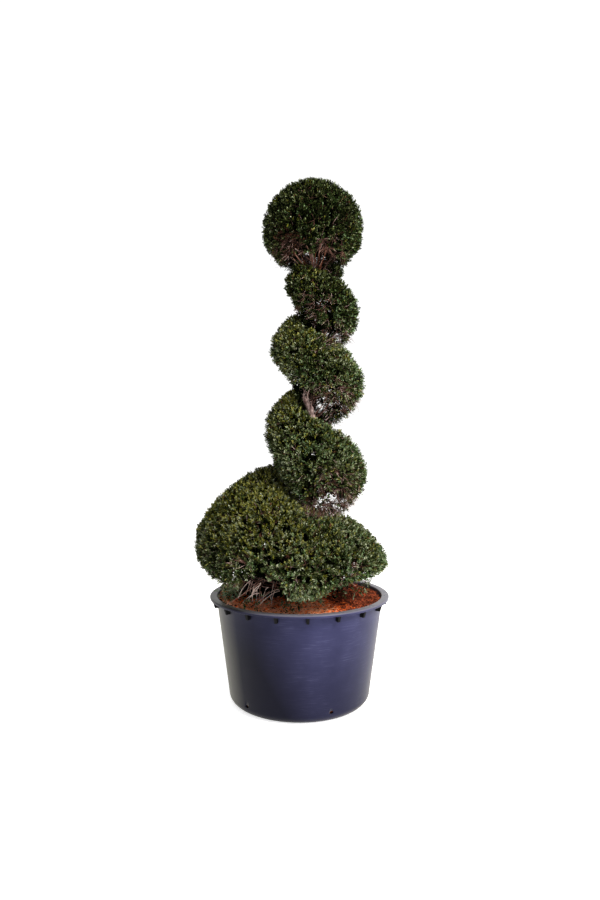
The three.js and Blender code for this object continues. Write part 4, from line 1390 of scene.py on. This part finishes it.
for name, (first, last) in MASSES.items():
    turn = rng.uniform(first, last, SKIN_TRIES)
    around = rng.uniform(-np.pi, np.pi, SKIN_TRIES)
    skin = clipped_skin(turn, around)
    normals = skin_normals(turn, around)
    if name in ("base_right_mass", "base_front_mass"):
        raised = smooth(0.04, 0.22, skin[:, 0]) * smooth(0.1, 0.9, -normals[:, 2])
        skin[:, 2] += RAISED_UNDERSIDE * raised
    kept = spread_out(skin, CLUMP_SPACING)
    by_hollow = name in ("base_front_mass", "base_left_mass")
    if by_hollow:
        from_hollow = np.linalg.norm((skin[kept] - HOLLOW_CENTRE) / HOLLOW_REACH, axis=1)
        kept = kept[from_hollow > 1]
    # Shoots turn up toward the light, but under the middle of the base they hang down.
    hang = np.full(len(kept), UPWARD_HANG)
    if name.startswith("base"):
        drooping = np.exp(-(((skin[kept, 0] - 0.03) / 0.12) ** 2))
        hang = UPWARD_HANG - 1.0 * drooping * smooth(0.0, 0.7, -normals[kept, 2])
    inner_side = np.cos(around[kept])
    dress_mass(name, skin[kept], normals[kept], inner_side, hang, TWIG_BARK_SHARES, by_hollow)


# Stems in the hollow
# At its front left the base is open underneath, and bare stems arch out of its dark inside toward the
# mulch. They are young wood without needles, in pinkish bark painted very pale for the light it
# catches.

HOLLOW_STEMS = 22
HOLLOW_STEM_RADII = (0.0026, 0.0010)
HOLLOW_STEM_ARCH = 0.16
# The limits of x, y and height between which they start, and of how far each one reaches from there.
HOLLOW_STEM_STARTS = ((-0.25, -0.09), (-0.28, -0.16), (0.600, 0.680))
HOLLOW_STEM_FALLS = ((-0.13, 0.02), (-0.10, -0.01), (-0.080, -0.040))
# Both barks are painted paler than the twigs' bark for the light the stems catch.
HOLLOW_STEM_BARK = {"stem_pink_bark_painted_light": "#f2dacd", "stem_red_brown_bark": "#b98f7f"}


def scattered(count, *limits):
    """Random points in a box, given the limits of each coordinate."""
    return np.stack([rng.uniform(low, high, count) for low, high in limits], -1)


stem_starts = scattered(HOLLOW_STEMS, *HOLLOW_STEM_STARTS)
stem_falls = scattered(HOLLOW_STEMS, *HOLLOW_STEM_FALLS)
stems = shoot_mesh(
    "base_bare_stems",
    twig_paths(stem_starts, stem_starts + stem_falls, HOLLOW_STEM_ARCH, 9),
    HOLLOW_STEM_RADII,
    [plain_material(name, color, 0.75) for name, color in HOLLOW_STEM_BARK.items()],
    rng.choice(len(HOLLOW_STEM_BARK), HOLLOW_STEMS),
)
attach(stems, "root")


# Old needles inside the base
# Shoots of earlier years fill the dark inside of the base, and low ones stand over the mulch at the
# left. Their needles are long and painted nearly black for the shade inside the base.

INSIDE_SHOOTS = 1000
INSIDE_REACH = (0.04, 0.30)
INSIDE_HEIGHTS = (0.545, 0.74)
FLOOR_SHOOTS = 1300
FLOOR_SCATTER = 0.09
FLOOR_HEIGHTS = (0.530, 0.595)
MOUND_FALL = 0.055
TUB_INSIDE_REACH = 0.400

turn = rng.uniform(0, 2 * np.pi, INSIDE_SHOOTS)
away = rng.uniform(*INSIDE_REACH, INSIDE_SHOOTS)
inside_height = rng.uniform(*INSIDE_HEIGHTS, INSIDE_SHOOTS)
inside_roots = np.stack([away * np.cos(turn) - 0.04, away * np.sin(turn) + 0.05, inside_height], -1)
# The hollow at the front stays free of them.
inside_roots = inside_roots[(inside_roots[:, 1] > -0.08) | (inside_roots[:, 2] > 0.63)]
floor_x = rng.normal(-0.17, FLOOR_SCATTER, FLOOR_SHOOTS)
floor_y = rng.normal(0.10, FLOOR_SCATTER, FLOOR_SHOOTS)
floor_height = rng.uniform(*FLOOR_HEIGHTS, FLOOR_SHOOTS)
# The low ones stand in a mound that falls away to its edge.
from_middle = np.hypot((floor_x + 0.19) / 0.26, (floor_y - 0.10) / 0.20)
floor_height -= MOUND_FALL * smooth(0.3, 1.1, from_middle)
in_tub = np.hypot(floor_x, floor_y) < TUB_INSIDE_REACH
above_mulch = in_tub & (floor_height > MULCH_LEVEL + 0.001) & (floor_y > -0.04)
floor_roots = np.stack([floor_x, floor_y, floor_height], -1)[above_mulch]
old_roots = np.concatenate([inside_roots, floor_roots])
old_tips = old_roots + rng.normal(0, 0.02, old_roots.shape) + np.array([0, 0, 0.02])
corners, dealt = grow_old_needles(old_roots, old_tips, rng.normal(0.0, 0.4, len(old_roots)))
old_spray = needle_mesh("base_inside_needles", corners, dealt)
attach(old_spray, "root")


# Hanging sprays
# Loose sprays that the shears passed over hang from the base's underside toward the mulch: a thin
# bending twig with living needles, painted palest at the left for the light that comes under
# the plant.

# x, y, height of the top, height of the foot, and how many shoots each carries.
HANGING_SPRAYS = (
    (-0.386, -0.08, 0.650, 0.605, 10),
    (-0.378, -0.13, 0.655, 0.585, 28),
    (-0.365, -0.15, 0.650, 0.575, 34),
    (-0.340, -0.17, 0.650, 0.570, 34),
    (-0.320, -0.14, 0.650, 0.575, 26),
    (-0.262, -0.26, 0.605, 0.555, 12),
    (-0.205, -0.29, 0.605, 0.560, 9),
    (0.372, 0.00, 0.660, 0.590, 14),
    (0.335, -0.08, 0.650, 0.590, 12),
    (0.285, -0.16, 0.640, 0.595, 9),
    (0.205, -0.22, 0.630, 0.590, 9),
    (0.105, -0.27, 0.610, 0.575, 9),
    (-0.005, -0.31, 0.600, 0.560, 12),
    (-0.065, -0.29, 0.610, 0.565, 12),
)
SPRAY_SPREAD = 0.013
SPRAY_TWIG_RADII = (0.0018, 0.0008)
SPRAY_GREEN_SHARE = 0.3

spray_roots = []
for x, y, top, foot, shoots in HANGING_SPRAYS:
    fall = np.linspace(0, 1, shoots)
    line = np.stack([np.full(shoots, x), np.full(shoots, y), top + (foot - top) * fall], -1)
    spray_roots.append(line + rng.normal(0, SPRAY_SPREAD, line.shape) * np.array([1, 1, 0.4]))
spray_roots = np.concatenate(spray_roots)
spray_places = np.array(HANGING_SPRAYS)
spray_tops = spray_places[:, :3] + np.array([0.02, 0.03, 0.06])
spray_feet = np.concatenate([spray_places[:, :2], spray_places[:, 3:4] + 0.012], 1)
spray_stems = shoot_mesh(
    "base_hanging_twigs",
    twig_paths(spray_tops, spray_feet, 0.1, 8),
    SPRAY_TWIG_RADII,
    [twig_materials[0]],
    np.zeros(len(HANGING_SPRAYS), int),
)
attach(spray_stems, "root")
spray_tips = spray_roots + rng.normal(0, 0.016, spray_roots.shape) + np.array([0, -0.006, -0.018])
spray_tips[:, 2] = np.maximum(spray_tips[:, 2], MULCH_LEVEL + 0.012)
# Painted light: the sprays at the left are dealt paler shades.
painted_light_left = 1.4 * smooth(-0.28, -0.34, spray_roots[:, 0])
spray_tones = 3.2 + painted_light_left + rng.normal(0, 1.0, len(spray_roots))
spray_families = np.where(rng.random(len(spray_roots)) < SPRAY_GREEN_SHARE, GREEN, OLIVE)
corners, dealt = grow_new_needles(spray_roots, spray_tips, spray_tones, spray_families)
low_spray = needle_mesh("base_hanging_needles", corners, dealt)
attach(low_spray, "root")


# Needles on the trunk
# Short shoots with old needles, painted dark for the shade, cling to the trunk between the turns,
# except where the shears and the shade have bared it.

TRUNK_SHOOTS = 900
TRUNK_SHOOT_HEIGHTS = (0.80, 2.26)
TRUNK_SHOOT_REACH = (0.020, 0.062)
TRUNK_SHOOT_RISE = 0.3
TRUNK_SHOOT_LENGTH = 0.025
BARE_TRUNK = (1.42, 1.595)

shoot_height = rng.uniform(*TRUNK_SHOOT_HEIGHTS, TRUNK_SHOOTS)
shoot_height = shoot_height[(shoot_height < BARE_TRUNK[0]) | (shoot_height > BARE_TRUNK[1])]
turn = rng.uniform(0, 2 * np.pi, len(shoot_height))
away = rng.uniform(*TRUNK_SHOOT_REACH, len(shoot_height))
outward = away_from_trunk(turn, TRUNK_SHOOT_RISE)
shoot_tips = trunk_centre(shoot_height) + outward * away[:, None]
shoot_roots = shoot_tips - outward * TRUNK_SHOOT_LENGTH
corners, dealt = grow_old_needles(shoot_roots, shoot_tips, rng.normal(0.4, 0.7, len(shoot_tips)))
trunk_spray = needle_mesh("trunk_shoot_needles", corners, dealt)
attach(trunk_spray, "root")


# Ball foliage
# The ball on top is the same evergreen, clipped round on the trunk's leader. It is flat and ragged
# underneath, where the shears don't reach, and its twigs there are red-brown or dark, seldom grey.

BALL_RADIUS = 0.273
BALL_RIM_DEPTH = 0.148
RAGGED_DEPTH = 0.040
RIM_DRAWN_IN = 0.025
BALL_BARK_SHARES = (0.56, 0.06, 0.38)

lowest = -(BALL_RIM_DEPTH + RAGGED_DEPTH) / BALL_RADIUS
latitude = np.arcsin(rng.uniform(lowest, 1, SKIN_TRIES))
longitude = rng.uniform(0, 2 * np.pi, len(latitude))
level = np.cos(latitude)
outward = np.stack([level * np.cos(longitude), level * np.sin(longitude), np.sin(latitude)], -1)
outward = outward[spread_out(outward * BALL_RADIUS, CLUMP_SPACING)]
drawn_in = RIM_DRAWN_IN * smooth(0.06, 0.15, -outward[:, 2] * BALL_RADIUS)[:, None]
ball_skin = BALL_CENTRE + outward * (BALL_RADIUS - drawn_in)
outer = np.full(len(outward), 1.0)
dress_mass("ball_mass", ball_skin, outward, outer, outer * 0.1, BALL_BARK_SHARES, True)


# Dead shoots on the trunk
# Where the shears and the shade have bared the trunk, its side shoots have died back. They stand up
# round it as thin grey-brown sticks.

BARE_TRUNK_SHOOTS = 26
BARE_SHOOT_HEIGHTS = (1.47, 1.64)
BARE_SHOOT_SIDES = (-0.5 * np.pi, 0.4 * np.pi)
BARE_SHOOT_LENGTHS = (0.03, 0.11)
BARE_SHOOT_RISE = 0.8
BARE_SHOOT_RADII = (0.0030, 0.0010)

bare_foot = rng.uniform(*BARE_SHOOT_HEIGHTS, BARE_TRUNK_SHOOTS)
bare_angle = rng.uniform(*BARE_SHOOT_SIDES, BARE_TRUNK_SHOOTS)
outward = away_from_trunk(bare_angle, BARE_SHOOT_RISE)
bare_starts = trunk_centre(bare_foot) + outward * 0.010
bare_ends = bare_starts + outward * rng.uniform(*BARE_SHOOT_LENGTHS, (BARE_TRUNK_SHOOTS, 1))
bare_shoots = shoot_mesh(
    "trunk_bare_shoots",
    twig_paths(bare_starts, bare_ends, 0.0, 7),
    BARE_SHOOT_RADII,
    twig_materials,
    rng.choice(len(TWIG_BARK), BARE_TRUNK_SHOOTS),
)
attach(bare_shoots, "root")
